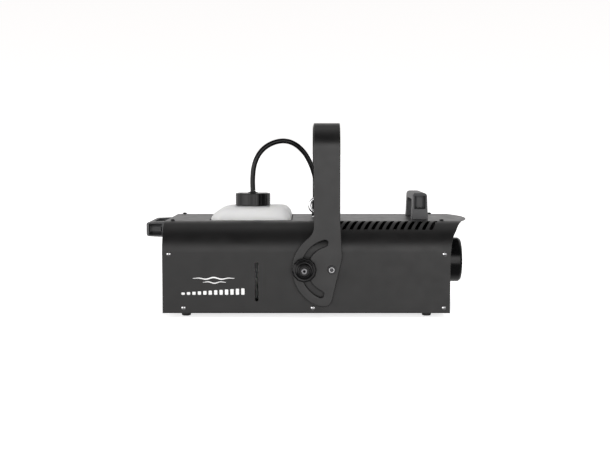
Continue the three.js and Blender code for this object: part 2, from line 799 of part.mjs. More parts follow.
// The yoke's arm seen from the right, with the pivot at the origin.
function armOutline() {
  const { radius, rise } = LOBE;
  const blend = rad(128);
  const shape = new THREE.Shape();
  shape.moveTo(YOKE.rear, rise);
  shape.lineTo(YOKE.rear, radius + 4);
  shape.quadraticCurveTo(YOKE.rear, 49.9, radius * Math.cos(blend), radius * Math.sin(blend));
  shape.absarc(0, 0, radius, blend, rad(250), false);
  shape.quadraticCurveTo(-3, -56, 1, -42.3);
  shape.lineTo(13.6, 10);
  shape.quadraticCurveTo(15.1, 16.4, 14.6, 22);
  shape.lineTo(YOKE.front, rise);
  return shape;
}

function arcSlot() {
  const { slotRadius, slotWidth, slotFrom, slotTo } = LOBE;
  const [from, to, half] = [rad(slotFrom), rad(slotTo), slotWidth / 2];
  const end = (angle) => [slotRadius * Math.cos(angle), slotRadius * Math.sin(angle)];
  return [
    ...arc(0, 0, slotRadius + half, from, to, 14),
    ...arc(...end(to), half, to, to + Math.PI, 4).slice(1),
    ...arc(0, 0, slotRadius - half, to, from, 14).slice(1),
    ...arc(...end(from), half, from + Math.PI, from + 2 * Math.PI, 4).slice(1, -1),
  ];
}

function yoke() {
  const { inner, sheet, top, bend, rear, front, hole } = YOKE;
  const outer = inner + sheet;
  const low = LOBE.rise - 4;
  const line = (inset) => [
    new THREE.Vector2(outer - inset, low),
    ...arc(outer - bend, top - PIVOT.z - bend, bend - inset, 0, Math.PI / 2, 6),
    ...arc(bend - outer, top - PIVOT.z - bend, bend - inset, Math.PI / 2, Math.PI, 6),
    new THREE.Vector2(inset - outer, low),
  ];
  const strap = prism([...line(0), ...line(sheet).reverse()], 'x', rear, front);
  const arms = Object.values(SIDES).map((side) => {
    const across = [inner, outer].map((y) => side * y).sort((a, b) => a - b);
    return prism(armOutline(), 'y', ...across, 9);
  });
  const centre = (rear + front) / 2;
  return cut(joined([strap, ...arms]), [
    prism(arcSlot(), 'y', -outer - 1, outer + 1),
    rod('y', [0, 0], 3.6, -outer - 1, outer + 1, 12),
    rod('z', [centre, 0], hole, top - PIVOT.z - 2 * sheet, top - PIVOT.z + 1, 16),
  ]);
}

// Between the casing and the arm, standing on the casing.
function pivotSpacer() {
  const high = YOKE.inner - BODY.halfWidth - GAP;
  return turned([[3.6, GAP], [9, GAP], [9, high], [3.6, high], [3.6, GAP]], 'z', [0, 0], 14);
}

// The pivot's and the knob's pieces stand on the arm's outer face.
function pivotWasher() {
  return turned([
    [3.6, GAP], [6.25, GAP], [6.25, 1.3], [3.6, 1.3], [3.6, GAP],
  ], 'z', [0, 0], 14);
}

function pivotScrew() {
  const socket = rod('z', [0, 0], 2.3, 3, 6, 6);
  const screw = turned([
    [0, -15], [3, -15], [3, 1.6], [4.6, 1.6], [4.6, 4.6], [4, 5.2], [0, 5.2],
  ], 'z', [0, 0], 12);
  return screw.subtract(socket);
}

// A fluted flange with a stepped hub, bored for its screw.
function clampKnob() {
  const { radius, flange, hub, height, flutes } = KNOB;
  const points = 3 * flutes;
  const outline = Array.from({ length: points }, (_, i) => {
    const angle = (2 * Math.PI * i) / points;
    const reach = radius - 0.55 * (1 - Math.cos(flutes * angle));
    return new THREE.Vector2(reach * Math.cos(angle), reach * Math.sin(angle));
  });
  const grip = prism(outline, 'z', GAP, flange);
  const step = turned([
    [0, flange - 1],
    [hub + 2.5, flange - 1],
    [hub + 2.5, flange + 2],
    [hub, flange + 3],
    [hub, height - 1],
    [hub - 1, height],
    [0, height],
  ], 'z', [0, 0], 18);
  return grip.add(step).subtract(rod('z', [0, 0], 3.4, -1, height + 1, 12));
}

function knobScrew() {
  const { height, proud } = KNOB;
  return turned([
    [0, -14],
    [3, -14],
    [3, height + GAP],
    [4.5, height + GAP],
    [4.5, height + 1.6],
    [3.2, proud],
    [0, proud],
  ], 'z', [0, 0], 12);
}

// ---------------------------------------------------------------------------------------------
// Assembly
// ---------------------------------------------------------------------------------------------

add('base_tray', baseTray(), LOOKS.casing);
add('cover_shell', coverShell(), LOOKS.casing);
add('front_panel', endPanel(FRONT_PANEL, [
  rod('x', [0, NOZZLE_AXIS], RING.bore - 4, FRONT_PANEL.face - 3, FRONT_PANEL.face + 1, 32),
]), LOOKS.casing);
add('rear_panel', endPanel(REAR_PANEL, [
  mainsCutout(), switchCutout(), remoteCutout(),
]), LOOKS.casing);

add('nozzle_ring', nozzleRing(), LOOKS.blackPlastic);
add('nozzle', nozzle(), LOOKS.brass);
add('heater_block', heaterBlock(), LOOKS.aluminium);
add('heater_insulation', heaterInsulation(), LOOKS.insulation);
add('thermostat', rod('x', [12, 78], 7, HEATER.rear - 9, HEATER.rear - GAP, 16), LOOKS.steel);

add('tank_bay', tankBay(), LOOKS.casing);
add('fluid_bottle', fluidBottle(), LOOKS.bottle);
add('neck_ring', neckRing(), LOOKS.neckRing);
add('bottle_cap', bottleCap(), LOOKS.blackPlastic);
add('cap_grommet', capGrommet(), LOOKS.rubber);
add('pickup_tube', rod('z', [NECK.x, 0], 3, 33, CAP.high - 6 - GAP, 10), LOOKS.nylon);
add('pickup_filter', rod('z', [NECK.x, 0], 7, 14, 33 - GAP, 12), LOOKS.nylon);
add('fluid_hose', tube(HOSE_ROUTE, HOSE), LOOKS.hose);
add('hose_inlet_fitting', hoseInlet(), LOOKS.blackPlastic);
add('pump', pump(), LOOKS.steel);
add('pump_inlet_line', tube(PUMP_INLET_ROUTE, LINE), LOOKS.nylon);
add('pump_outlet_line', tube(PUMP_OUTLET_ROUTE, LINE), LOOKS.brass);
add('control_board', controlBoard(), LOOKS.board);

add('mains_inlet', mainsInlet(), LOOKS.blackPlastic);
add('fuse_drawer', fuseDrawer(), LOOKS.blackPlastic);
add('power_switch_frame', switchFrame(), LOOKS.blackPlastic);
add('power_rocker', powerRocker(), LOOKS.blackPlastic);
add('remote_socket', remoteSocket(), LOOKS.blackPlastic);

add('top_handle', handle(), LOOKS.moulding, [TOP_HANDLE_X, 0, BODY.top + GAP]);
add('rear_handle', handle(), LOOKS.moulding, [
  REAR_PANEL.face - GAP, 0, REAR_HANDLE_Z,
], [0, -Math.PI / 2, 0]);
add('eye_bolt', eyeBolt(), LOOKS.zinc);
add('eye_bolt_nut', eyeBoltNut(), LOOKS.zinc);
add('yoke', yoke(), LOOKS.bracket, [PIVOT.x, 0, PIVOT.z]);

for (const [name, side] of Object.entries(SIDES)) {
  const wall = side * BODY.halfWidth;
  const arm = side * (YOKE.inner + YOKE.sheet);
  add(`pivot_spacer_${name}`, pivotSpacer(), LOOKS.nylon, [PIVOT.x, wall, PIVOT.z], outward(side));
  add(`pivot_washer_${name}`, pivotWasher(), LOOKS.screw, [PIVOT.x, arm, PIVOT.z], outward(side));
  add(`pivot_screw_${name}`, pivotScrew(), LOOKS.screw, [PIVOT.x, arm, PIVOT.z], outward(side));
  add(`clamp_knob_${name}`, clampKnob(), LOOKS.blackPlastic, [stud.x, arm, stud.z], outward(side));
  add(`knob_screw_${name}`, knobScrew(), LOOKS.zinc, [stud.x, arm, stud.z], outward(side));
  add(`foot_rear_${name}`, foot(), LOOKS.rubber, [FOOT.rear, side * FOOT.y, 0]);
  add(`foot_front_${name}`, foot(), LOOKS.rubber, [FOOT.front, side * FOOT.y, 0]);
  SIDE_SCREWS.forEach(([x, z], i) => {
    add(`side_screw_${name}_${i + 1}`, casingScrew(), LOOKS.screw, [x, wall, z], outward(side));
  });
}
TOP_SCREWS.forEach(([x, y], i) => {
  add(`top_screw_${i + 1}`, casingScrew(), LOOKS.screw, [x, y, BODY.top]);
});

export default machine;
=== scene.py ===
"""A fog machine in a white studio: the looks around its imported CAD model.

Shapes are worked out in millimetres in the row frame (+X forward, +Y left, +Z up) and turned
into metres when a mesh is made. Left is the +Y side and right the -Y side.
"""

import json
import math

import bmesh
import bpy
from mathutils import Matrix, Vector


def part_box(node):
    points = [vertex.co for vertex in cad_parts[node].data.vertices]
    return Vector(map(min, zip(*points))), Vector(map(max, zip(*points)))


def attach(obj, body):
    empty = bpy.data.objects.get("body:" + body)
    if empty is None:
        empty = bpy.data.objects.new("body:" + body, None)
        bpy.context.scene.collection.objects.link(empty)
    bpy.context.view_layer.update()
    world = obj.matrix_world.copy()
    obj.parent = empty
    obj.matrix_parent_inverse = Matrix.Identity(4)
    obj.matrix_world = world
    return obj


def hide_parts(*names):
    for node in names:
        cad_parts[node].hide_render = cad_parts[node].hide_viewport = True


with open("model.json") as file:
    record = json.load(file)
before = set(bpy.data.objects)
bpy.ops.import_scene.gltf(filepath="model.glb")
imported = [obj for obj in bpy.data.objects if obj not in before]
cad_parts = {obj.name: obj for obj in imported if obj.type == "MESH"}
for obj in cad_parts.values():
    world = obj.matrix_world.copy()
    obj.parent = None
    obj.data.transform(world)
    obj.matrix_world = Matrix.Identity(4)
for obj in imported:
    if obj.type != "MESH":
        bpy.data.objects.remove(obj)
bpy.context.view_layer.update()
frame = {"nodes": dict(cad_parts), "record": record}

MM = 0.001
SIDES = {"left": 1, "right": -1}
SHEET = 1.2


def box_mm(node):
    """A CAD node's lowest and highest corners, in millimetres."""
    low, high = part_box(node)
    return low / MM, high / MM


def centre_mm(node):
    low, high = box_mm(node)
    return (low + high) / 2


def in_scene(name, data):
    """A new object in the scene that holds data."""
    obj = bpy.data.objects.new(name, data)
    bpy.context.scene.collection.objects.link(obj)
    return obj


def set_inputs(node, **inputs):
    """Gives a node's inputs their values, or links them where the value is a socket."""
    for name, value in inputs.items():
        socket = node.inputs[name.replace("_", " ")]
        if isinstance(value, bpy.types.NodeSocket):
            node.id_data.links.new(value, socket)
        else:
            socket.default_value = value
    return node


# ---- Camera, light and floor ----


def make_camera():
    data = bpy.data.cameras.new("camera")
    data.lens = 61.45
    data.sensor_width = 36.0
    data.clip_end = 100.0
    camera = in_scene("camera", data)
    camera.location = (-0.00364, -1.5545, 0.2381)
    looking_down = 4.304
    camera.rotation_euler = (math.radians(90 - looking_down), 0, 0)
    bpy.context.scene.camera = camera


# Each zone of the room is a list of (sine of an elevation or a bearing, brightness).
SOFTBOX = {
    "strength": 3.5,
    "heights": [(-0.3, 0), (-0.2, 0.78), (0, 0.78), (0.12, 1), (0.28, 1), (0.42, 0)],
    "bearings": [
        (-1, 0.5), (-0.85, 1), (-0.4, 1), (-0.25, 0.62), (-0.04, 0.62), (0.1, 1), (0.5, 1),
        (0.66, 0.15), (0.9, 0.05),
    ],
}
BACKDROP = [(-1, 0.5), (-0.3, 0.6), (-0.02, 1.03), (0.05, 1.03), (0.5, 0.8), (0.8, 0.4)]
CEILING = [(-0.3, 0.12), (-0.2, 0), (0.86, 0), (0.97, 0.42), (1, 0.5)]


def make_world():
    """A white room with a wide softbox in front, as bright and dark zones of the sky.

    The zones are read from a direction's elevation and, for the softbox, from its bearing.
    """
    world = bpy.data.worlds.new("studio")
    bpy.context.scene.world = world
    world.use_nodes = True
    tree = world.node_tree
    tree.nodes.clear()

    def add(kind, *values):
        node = tree.nodes.new(kind)
        for socket, value in zip(node.inputs, values):
            if isinstance(value, bpy.types.NodeSocket):
                tree.links.new(value, socket)
            elif value is not None:
                socket.default_value = value
        return node

    def calculate(operation, *values):
        node = add("ShaderNodeMath", *values)
        node.operation = operation
        return node.outputs[0]

    def zones(value, stops):
        """Brightness against a value from -1 to 1, straight between the stops."""
        node = tree.nodes.new("ShaderNodeValToRGB")
        elements = node.color_ramp.elements
        while len(elements) < len(stops):
            elements.new(0.5)
        for element, (at, bright) in zip(elements, stops):
            element.position = (at + 1) / 2
            element.color = (bright, bright, bright, 1)
        half = calculate("MULTIPLY_ADD", value, 0.5, 0.5)
        tree.links.new(half, node.inputs[0])
        return node.outputs["Color"]

    coords = tree.nodes.new("ShaderNodeTexCoord")
    split = add("ShaderNodeSeparateXYZ", coords.outputs["Generated"])
    across, depth, height = split.outputs
    # The sine of the bearing, left to right, in the front half of the room.
    flat = calculate("SQRT", calculate("MULTIPLY_ADD", across, across, calculate(
        "MULTIPLY", depth, depth,
    )))
    bearing = calculate("DIVIDE", across, calculate("MAXIMUM", flat, 0.001))
    in_front = zones(depth, [(-0.2, 1), (0.1, 0)])
    softbox = zones(height, SOFTBOX["heights"])
    window = zones(bearing, SOFTBOX["bearings"])
    box = calculate("MULTIPLY", calculate("MULTIPLY", softbox, window), in_front)
    backdrop = calculate("MULTIPLY", zones(height, BACKDROP), calculate("SUBTRACT", 1.0, in_front))
    ceiling = zones(height, CEILING)
    room = calculate("MULTIPLY_ADD", box, SOFTBOX["strength"], calculate("ADD", backdrop, ceiling))
    background = add("ShaderNodeBackground", (1, 0.985, 0.98, 1), room)
    add("ShaderNodeOutputWorld", background.outputs[0])


def make_studio():
    make_camera()
    make_world()
    lamp = bpy.data.lights.new("key_light", "AREA")
    lamp.size, lamp.energy = 1.4, 13
    key = in_scene("key_light", lamp)
    key.location = (0.5, -0.6, 1.9)
    aim = Vector((0, 0, 0.1)) - key.location
    key.rotation_euler = aim.to_track_quat("-Z", "Y").to_euler()
    key.visible_glossy = False

    mesh = bpy.data.meshes.new("floor")
    reach = 30.0
    corners = [(-reach, -reach, 0), (reach, -reach, 0), (reach, reach, 0), (-reach, reach, 0)]
    mesh.from_pydata(corners, [], [(0, 1, 2, 3)])
    floor = in_scene("floor", mesh)
    paint = bpy.data.materials.new("floor_white")
    paint.use_nodes = True
    set_inputs(
        paint.node_tree.nodes["Principled BSDF"], Base_Color=(0.85, 0.85, 0.85, 1), Roughness=0.9,
        Emission_Color=(1, 1, 1, 1), Emission_Strength=0.75, Specular_IOR_Level=0.1,
    )
    mesh.materials.append(paint)
    floor.visible_glossy = False

    bpy.context.scene.view_settings.view_transform = "Standard"


# ---- Materials ----


MATERIALS = {}
# Most of what a noise texture gives lies between these two.
NOISE_LOW, NOISE_HIGH = 0.3, 0.7


def material(
    name, color, roughness, metallic=0.0, specular=0.5, grain=0.0, grain_size=1.0, mottle=0.06,
    rub=0.05, **more
):
    """A painted, moulded or plated surface.

    grain is the bump's height in millimetres and grain_size its pitch. mottle is how much the
    colour drifts over a few centimetres, and rub how much the roughness does.
    """
    made = bpy.data.materials.new(name)
    made.use_nodes = True
    nodes = made.node_tree.nodes
    shader = set_inputs(
        nodes["Principled BSDF"], Metallic=metallic, Specular_IOR_Level=specular, **more
    )
    coords = nodes.new("ShaderNodeTexCoord").outputs["Object"]

    def noise(scale, detail):
        node = nodes.new("ShaderNodeTexNoise")
        return set_inputs(node, Scale=scale, Detail=detail, Vector=coords).outputs["Fac"]

    def spread(value, low, high):
        node = set_inputs(
            nodes.new("ShaderNodeMapRange"), From_Min=NOISE_LOW, From_Max=NOISE_HIGH, To_Min=low,
            To_Max=high, Value=value,
        )
        return node.outputs["Result"]

    mix = nodes.new("ShaderNodeMix")
    mix.data_type = "RGBA"
    darker = [c * (1 - mottle) for c in color]
    lighter = [min(1, c * (1 + mottle)) for c in color]
    set_inputs(mix, A=(*darker, 1), B=(*lighter, 1), Factor=spread(noise(22.0, 3.0), 0, 1))
    worn = spread(noise(60.0, 4.0), roughness - rub, roughness + rub)
    set_inputs(shader, Base_Color=mix.outputs["Result"], Roughness=worn)
    if grain:
        bump = set_inputs(
            nodes.new("ShaderNodeBump"), Strength=1.0, Distance=grain * MM,
            Height=noise(1 / (grain_size * MM), 2.0),
        )
        set_inputs(shader, Normal=bump.outputs["Normal"])
    MATERIALS[name] = made


def make_materials():
    casing, bracket = (0.0078, 0.0076, 0.0077), (0.0082, 0.008, 0.0081)
    deep_black = (0.004, 0.004, 0.0043)
    material("casing_paint", casing, 0.38, specular=0.36, grain=0.02, grain_size=0.9)
    material("bracket_paint", bracket, 0.34, specular=0.42, grain=0.016, grain_size=1.1)
    material("moulded_plastic", (0.05, 0.051, 0.053), 0.46, grain=0.03, grain_size=0.5)
    material(
        "black_plastic", (0.005, 0.005, 0.0053), 0.2, specular=0.22, grain=0.005, grain_size=0.8
    )
    material("cap_plastic", deep_black, 0.13, specular=0.3, grain=0.003, grain_size=1.4)
    material("knob_plastic", deep_black, 0.08, specular=0.2, grain=0.001, rub=0.02)
    material("rubber", (0.012, 0.012, 0.012), 0.75, grain=0.03, grain_size=0.4)
    material("hose_black", deep_black, 0.13, specular=0.2, grain=0.003, grain_size=2.5)
    material(
        "bottle_white", (0.82, 0.825, 0.83), 0.36, grain=0.03, grain_size=3.0, mottle=0.02,
        Subsurface_Weight=0.6, Subsurface_Radius=(0.02, 0.02, 0.022), Subsurface_Scale=0.4,
    )
    material("neck_ring_grey", (0.6, 0.61, 0.62), 0.4, grain=0.01)
    material("screw_black", (0.6, 0.6, 0.61), 0.16, 1.0, rub=0.03)
    material("washer_black", (0.03, 0.03, 0.031), 0.28, 1.0)
    material("screw_bright", (0.32, 0.32, 0.325), 0.14, 1.0, rub=0.04)
    material("screw_dim", (0.15, 0.15, 0.155), 0.1, 1.0, rub=0.03)
    material("zinc_plate", (0.78, 0.79, 0.8), 0.16, 1.0, grain=0.01, grain_size=1.6, rub=0.06)
    material("steel", (0.5, 0.5, 0.51), 0.34, 1.0, grain=0.01)
    material("brass", (0.62, 0.45, 0.19), 0.28, 1.0, grain=0.008)
    material("aluminium", (0.6, 0.61, 0.62), 0.45, 1.0, grain=0.05)
    material("insulation", (0.7, 0.66, 0.56), 0.95, grain=0.3, grain_size=1.5, mottle=0.12)
    material("nylon", (0.75, 0.73, 0.67), 0.45, grain=0.01)
    material("board_green", (0.02, 0.13, 0.05), 0.4, grain=0.02)
    material("print_white", (0.8, 0.8, 0.8), 0.5, mottle=0.02)


# ---- Mesh tools ----


def arc(x, y, radius, start, end, steps):
    """Points on an arc about (x, y), with start and end in radians."""
    turns = [start + (end - start) * i / steps for i in range(steps + 1)]
    return [(x + radius * math.cos(a), y + radius * math.sin(a)) for a in turns]


def circle(x, y, radius, sides=32):
    return arc(x, y, radius, 0, 2 * math.pi, sides)[:-1]


def rounded(corners, steps=6):
    """A closed outline through corners, (x, y, radius), with each corner rounded."""
    outline = []
    for i, (x, y, radius) in enumerate(corners):
        at = Vector((x, y))
        if not radius:
            outline.append((x, y))
            continue
        back = (Vector(corners[i - 1][:2]) - at).normalized()
        ahead = (Vector(corners[(i + 1) % len(corners)][:2]) - at).normalized()
        half = back.angle(ahead) / 2
        centre = at + (back + ahead).normalized() * (radius / math.sin(half))
        touch = at + back * (radius / math.tan(half)) - centre
        turn = math.copysign(math.pi - 2 * half, ahead.x * back.y - ahead.y * back.x)
        start = math.atan2(touch.y, touch.x)
        outline += arc(centre.x, centre.y, radius, start, start + turn, steps)
    return outline


def rounded_box(x0, x1, y0, y1, radius, steps=6):
    corners = [(x1, y0, radius), (x1, y1, radius), (x0, y1, radius), (x0, y0, radius)]
    return rounded(corners, steps)


def evaluated(obj):
    """A bmesh of an object as its modifiers or its curve's settings make it."""
    bpy.context.view_layer.update()
    graph = bpy.context.evaluated_depsgraph_get()
    mesh = bpy.data.meshes.new_from_object(obj.evaluated_get(graph))
    bm = bmesh.new()
    bm.from_mesh(mesh)
    bpy.data.meshes.remove(mesh)
    return bm


def add_line(curve, points):
    """A new straight-edged spline of a curve, through (x, y, z) points."""
    spline = curve.splines.new("POLY")
    spline.points.add(len(points) - 1)
    for point, place in zip(spline.points, points):
        point.co = (*place, 1)
    return spline


def plate(outline, holes, low, high, edge=0.0, segments=2):
    """A flat plate in XY from low to high in Z, with holes, its edges rounded by edge."""
    data = bpy.data.curves.new("plate", "CURVE")
    data.dimensions = "2D"
    data.fill_mode = "BOTH"
    data.extrude = (high - low) / 2 - edge
    data.bevel_depth = edge
    data.bevel_resolution = segments - 1
    data.offset = -edge
    for points in [outline, *holes]:
        add_line(data, [(x, y, 0) for x, y in points]).use_cyclic_u = True
    holder = in_scene("plate", data)
    bm = evaluated(holder)
    bpy.data.objects.remove(holder)
    bpy.data.curves.remove(data)
    bmesh.ops.remove_doubles(bm, verts=bm.verts, dist=1e-3)
    bmesh.ops.translate(bm, verts=bm.verts, vec=(0, 0, (low + high) / 2))
    bmesh.ops.recalc_face_normals(bm, faces=bm.faces)
    return bm


def block(half_x, half_y, corner, low, high, edge=0.0, at=(0, 0), steps=6, holes=()):
    """A plate about at, with straight sides and rounded corners."""
    x, y = at
    outline = rounded_box(x - half_x, x + half_x, y - half_y, y + half_y, corner, steps)
    return plate(outline, holes, low, high, edge)


def revolve(profile, sides=48, reach=None):
    """(radius, height) pairs turned about Z. reach(angle, radius, height) may change a radius.

    A profile that starts on the axis ends there too, and any other closes on itself.
    """
    bm = bmesh.new()
    rows = []
    for radius, height in profile:
        if radius == 0:
            rows.append([bm.verts.new((0, 0, height))] * sides)
            continue
        row = []
        for i in range(sides):
            angle = 2 * math.pi * i / sides
            r = reach(angle, radius, height) if reach else radius
            row.append(bm.verts.new((r * math.cos(angle), r * math.sin(angle), height)))
        rows.append(row)
    if profile[0][0]:
        rows.append(rows[0])
    for low, high in zip(rows, rows[1:]):
        for i in range(sides):
            j = (i + 1) % sides
            ring = list(dict.fromkeys([low[i], low[j], high[j], high[i]]))
            if len(ring) > 2:
                bm.faces.new(ring)
    bmesh.ops.recalc_face_normals(bm, faces=bm.faces)
    return bm


def soft_profile(corners, steps=4):
    """An open profile through (radius, height, rounding) corners, each one rounded."""
    first, last = corners[0][:2], corners[-1][:2]
    outline = rounded([(*first, 0), *corners[1:-1], (*last, 0)], steps)
    return [first, *outline[1:-1], last]


def merged(parts):
    """One bmesh that holds several."""
    whole = parts[0]
    for part in parts[1:]:
        mesh = bpy.data.meshes.new("part")
        part.to_mesh(mesh)
        part.free()
        whole.from_mesh(mesh)
        bpy.data.meshes.remove(mesh)
    return whole


def moved(bm, offset=(0, 0, 0), turn=None):
    """bm turned by a matrix and then moved, in place."""
    if turn is not None:
        bmesh.ops.transform(bm, matrix=turn, verts=bm.verts)
    bmesh.ops.translate(bm, verts=bm.verts, vec=offset)
    return bm


# A piece drawn pointing up, +Z, turned to point out of each of the machine's faces.
POINT_RIGHT = Matrix.Rotation(math.radians(90), 4, "X")
POINT_LEFT = Matrix.Rotation(math.radians(-90), 4, "X")
POINT_REAR = Matrix.Rotation(math.radians(-90), 4, "Y")
POINT_FRONT = Matrix.Rotation(math.radians(90), 4, "Y")
OUTWARD = {"left": POINT_LEFT, "right": POINT_RIGHT}
# An outline drawn in (y, z) or (x, z), with its thickness along X or -Y.
FROM_YZ = Matrix(((0, 0, 1, 0), (1, 0, 0, 0), (0, 1, 0, 0), (0, 0, 0, 1)))
FROM_XZ = POINT_RIGHT
# An outline drawn in (y, z), with its thickness pointing back from the rear panel.
TO_REAR = Matrix(((0, 0, -1, 0), (1, 0, 0, 0), (0, 1, 0, 0), (0, 0, 0, 1)))


def corner_normals(bm, smooth):
    """Each face corner's normal, shared with the faces round it that turn less than smooth.

    Faces count by their area, so that a big flat face stays flat up to its rounded edges.
    """
    limit = math.cos(math.radians(smooth))
    areas = {face: face.calc_area() for face in bm.faces}
    normals = []
    for face in bm.faces:
        for vert in face.verts:
            near = [other for other in vert.link_faces if face.normal.dot(other.normal) > limit]
            total = sum((other.normal * areas[other] for other in near), Vector())
            normals.append((total or face.normal).normalized())
    return normals


def as_mesh(bm, name, smooth=35):
    """Turns a bmesh in millimetres into a mesh in metres, smooth below that angle."""
    bm.normal_update()
    normals = corner_normals(bm, smooth)
    bmesh.ops.transform(bm, matrix=Matrix.Scale(MM, 4), verts=bm.verts)
    mesh = bpy.data.meshes.new(name)
    bm.to_mesh(mesh)
    bm.free()
    mesh.shade_smooth()
    mesh.normals_split_custom_set(normals)
    return mesh


def add_object(name, mesh, finish):
    if not mesh.materials:
        mesh.materials.append(MATERIALS[finish])
    return in_scene(name, mesh)


def piece(name, bm, slot, nodes=(), body="root", finish=None, smooth=35):
    """A visible piece that rides on a body and stands for CAD nodes."""
    obj = add_object(name, as_mesh(bm, name, smooth), finish or slot)
    enrol(obj, nodes, body)


def enrol(obj, nodes, body):
    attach(obj, body)
    if nodes:
        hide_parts(*([nodes] if isinstance(nodes, str) else nodes))


def modified(bm, *changes):
    """bm after modifiers, each one (type, settings). An "object" setting may be a bmesh."""
    holders = []

    def hold(shape):
        mesh = bpy.data.meshes.new("shape")
        shape.to_mesh(mesh)
        shape.free()
        holders.append(in_scene("shape", mesh))
        return holders[-1]

    obj = hold(bm)
    for kind, settings in changes:
        modifier = obj.modifiers.new(kind.lower(), kind)
        for key, value in settings.items():
            setattr(modifier, key, hold(value) if key == "object" else value)
    out = evaluated(obj)
    for held in holders:
        data = held.data
        bpy.data.objects.remove(held)
        bpy.data.meshes.remove(data)
    return out


def boolean(operation, shape):
    return "BOOLEAN", {"operation": operation, "solver": "EXACT", "object": shape}


def cut(bm, *cutters):
    """bm with each cutter taken away."""
    return modified(bm, *[boolean("DIFFERENCE", cutter) for cutter in cutters])


def softened(bm, width, segments=2):
    """bm with its sharp edges rounded."""
    sharp = math.radians(32)
    return modified(bm, ("BEVEL", {
        "width": width, "segments": segments, "limit_method": "ANGLE", "angle_limit": sharp,
    }))


# ---- Folded sheet ----


class Fold:
    """The section of a sheet folded alike on both sides of its middle.

    steps are (length,) for a flat stretch and (radius, angle) for a bend, from the middle of
    the top outwards. s is the distance along the outer face from the middle.
    """

    # How far inside a flat stretch its shading is back to being flat.
    RIM = 1.5

    def __init__(self, top, steps):
        self.stretches = []
        at, heading, s = Vector((0, top)), 0.0, 0.0
        for step in steps:
            if len(step) == 1:
                self.stretches.append((s, s + step[0], at.copy(), heading, 0.0))
                at += step[0] * Vector((math.cos(heading), -math.sin(heading)))
                s += step[0]
                continue
            radius, angle = step
            self.stretches.append((s, s + radius * angle, at.copy(), heading, radius))
            centre = at - radius * self.out(heading)
            heading += angle
            at = centre + radius * self.out(heading)
            s += radius * angle
        self.length = s

    @staticmethod
    def out(heading):
        return Vector((math.sin(heading), math.cos(heading)))

    def place(self, s, depth):
        """The (y, z) of a point at s, that deep under the outer face."""
        side = -1 if s < 0 else 1
        s = min(abs(s), self.length)
        low, _, at, heading, radius = next(st for st in self.stretches if s <= st[1] + 1e-6)
        if radius:
            turned = heading + (s - low) / radius
            point = at - radius * self.out(heading) + (radius - depth) * self.out(turned)
        else:
            along = Vector((math.cos(heading), -math.sin(heading)))
            point = at + (s - low) * along - depth * self.out(heading)
        return side * point.x, point.y

    def cuts(self, step):
        """Every s where the sheet has to be able to bend, step degrees apart."""
        found = [0.0]
        for low, high, _, _, radius in self.stretches:
            if radius:
                count = max(1, round(math.degrees((high - low) / radius) / step))
                found += [low + (high - low) * i / count for i in range(count + 1)]
            else:
                found += [low + self.RIM, high - self.RIM]
        found = sorted({round(s, 4) for s in found if s < self.length - 1e-3})
        return sorted({-s for s in found} | set(found))

    def s_at(self, height):
        """The s of the lowest flat stretch's point at that height."""
        low, _, at, heading, _ = self.stretches[-1]
        return low + (at.y - height) / math.sin(heading)


def folded(outline, holes, fold, thickness, edge, step=2.0, segments=2):
    """A sheet cut flat in (x, s), with holes, and then folded."""
    bm = plate(outline, holes, -thickness, 0, edge, segments)
    for s in fold.cuts(step):
        geometry = [*bm.verts, *bm.edges, *bm.faces]
        bmesh.ops.bisect_plane(bm, geom=geometry, plane_co=(0, s, 0), plane_no=(0, 1, 0))
    for vert in bm.verts:
        x, s, z = vert.co
        vert.co = (x, *fold.place(s, -z))
    bmesh.ops.recalc_face_normals(bm, faces=bm.faces)
    return bm


# ---- Casing ----

SHOULDER = {"start": 91.0, "radius": 46.0, "lean": math.radians(28), "bend": 36.0}
HOOD_CORNER = 218.7
VENT = {
    "count": 16, "first": 24.5, "pitch": 10.2, "width": 5.1, "shift": 10.2,
    "from": math.radians(6.5), "to": math.radians(46),
}
SIDE_SCREWS = 5
TOP_SCREWS = 4


def cover_fold(low, high):
    """The cover's section: flat top, bend, slope, shoulder arc and wall."""
    start, radius, lean, bend = SHOULDER.values()
    slope_y = high.y - radius * (1 - math.cos(lean))
    rise = high.z - start - radius * math.sin(lean)
    tangent = bend * math.tan((math.pi / 2 - lean) / 2)
    flat = slope_y - rise * math.tan(lean) - tangent
    slope = rise / math.cos(lean) - tangent
    return Fold(high.z, [
        (flat,), (bend, math.pi / 2 - lean), (slope,), (radius, lean), (start - low.z,),
    ])


def bezier(*controls, steps):
    """A Bezier curve from the first to the last of its control points."""
    degree = len(controls) - 1
    line = []
    for i in range(steps + 1):
        t = i / steps
        weights = [
            math.comb(degree, k) * (1 - t) ** (degree - k) * t**k for k in range(degree + 1)
        ]
        line.append(tuple(
            sum(w * p[axis] for w, p in zip(weights, controls)) for axis in range(2)
        ))
    return line


def front_edge(fold, high):
    """The (x, s) points of the cover's front edge, from right to left."""
    top, foot = high.z, high.z - 58
    knee = (207.5, top - 13)
    side = bezier((199, foot), (199.4, top - 30), (202, top - 21), knee, steps=16)
    side += bezier(knee, (211, top - 6.5), (212, top - 3), (HOOD_CORNER, top), steps=16)

    def x_at(z):
        for (x0, z0), (x1, z1) in zip(side, side[1:]):
            if z <= z1:
                return x0 + (x1 - x0) * max(0.0, z - z0) / max(1e-9, z1 - z0)
        return HOOD_CORNER

    flat = fold.stretches[0][1]
    half = [(x_at(foot), fold.length)]
    side_steps, arch_steps = 60, 24
    wall = fold.s_at(foot)
    for i in range(side_steps + 1):
        s = wall + (flat - wall) * i / side_steps
        half.append((x_at(fold.place(s, 0)[1]), s))
    for i in range(1, arch_steps + 1):
        s = flat * (1 - i / arch_steps)
        half.append((HOOD_CORNER + (high.x - HOOD_CORNER) * (1 - (s / flat) ** 2), s))
    return [(x, -s) for x, s in half[:-1]] + half[::-1]


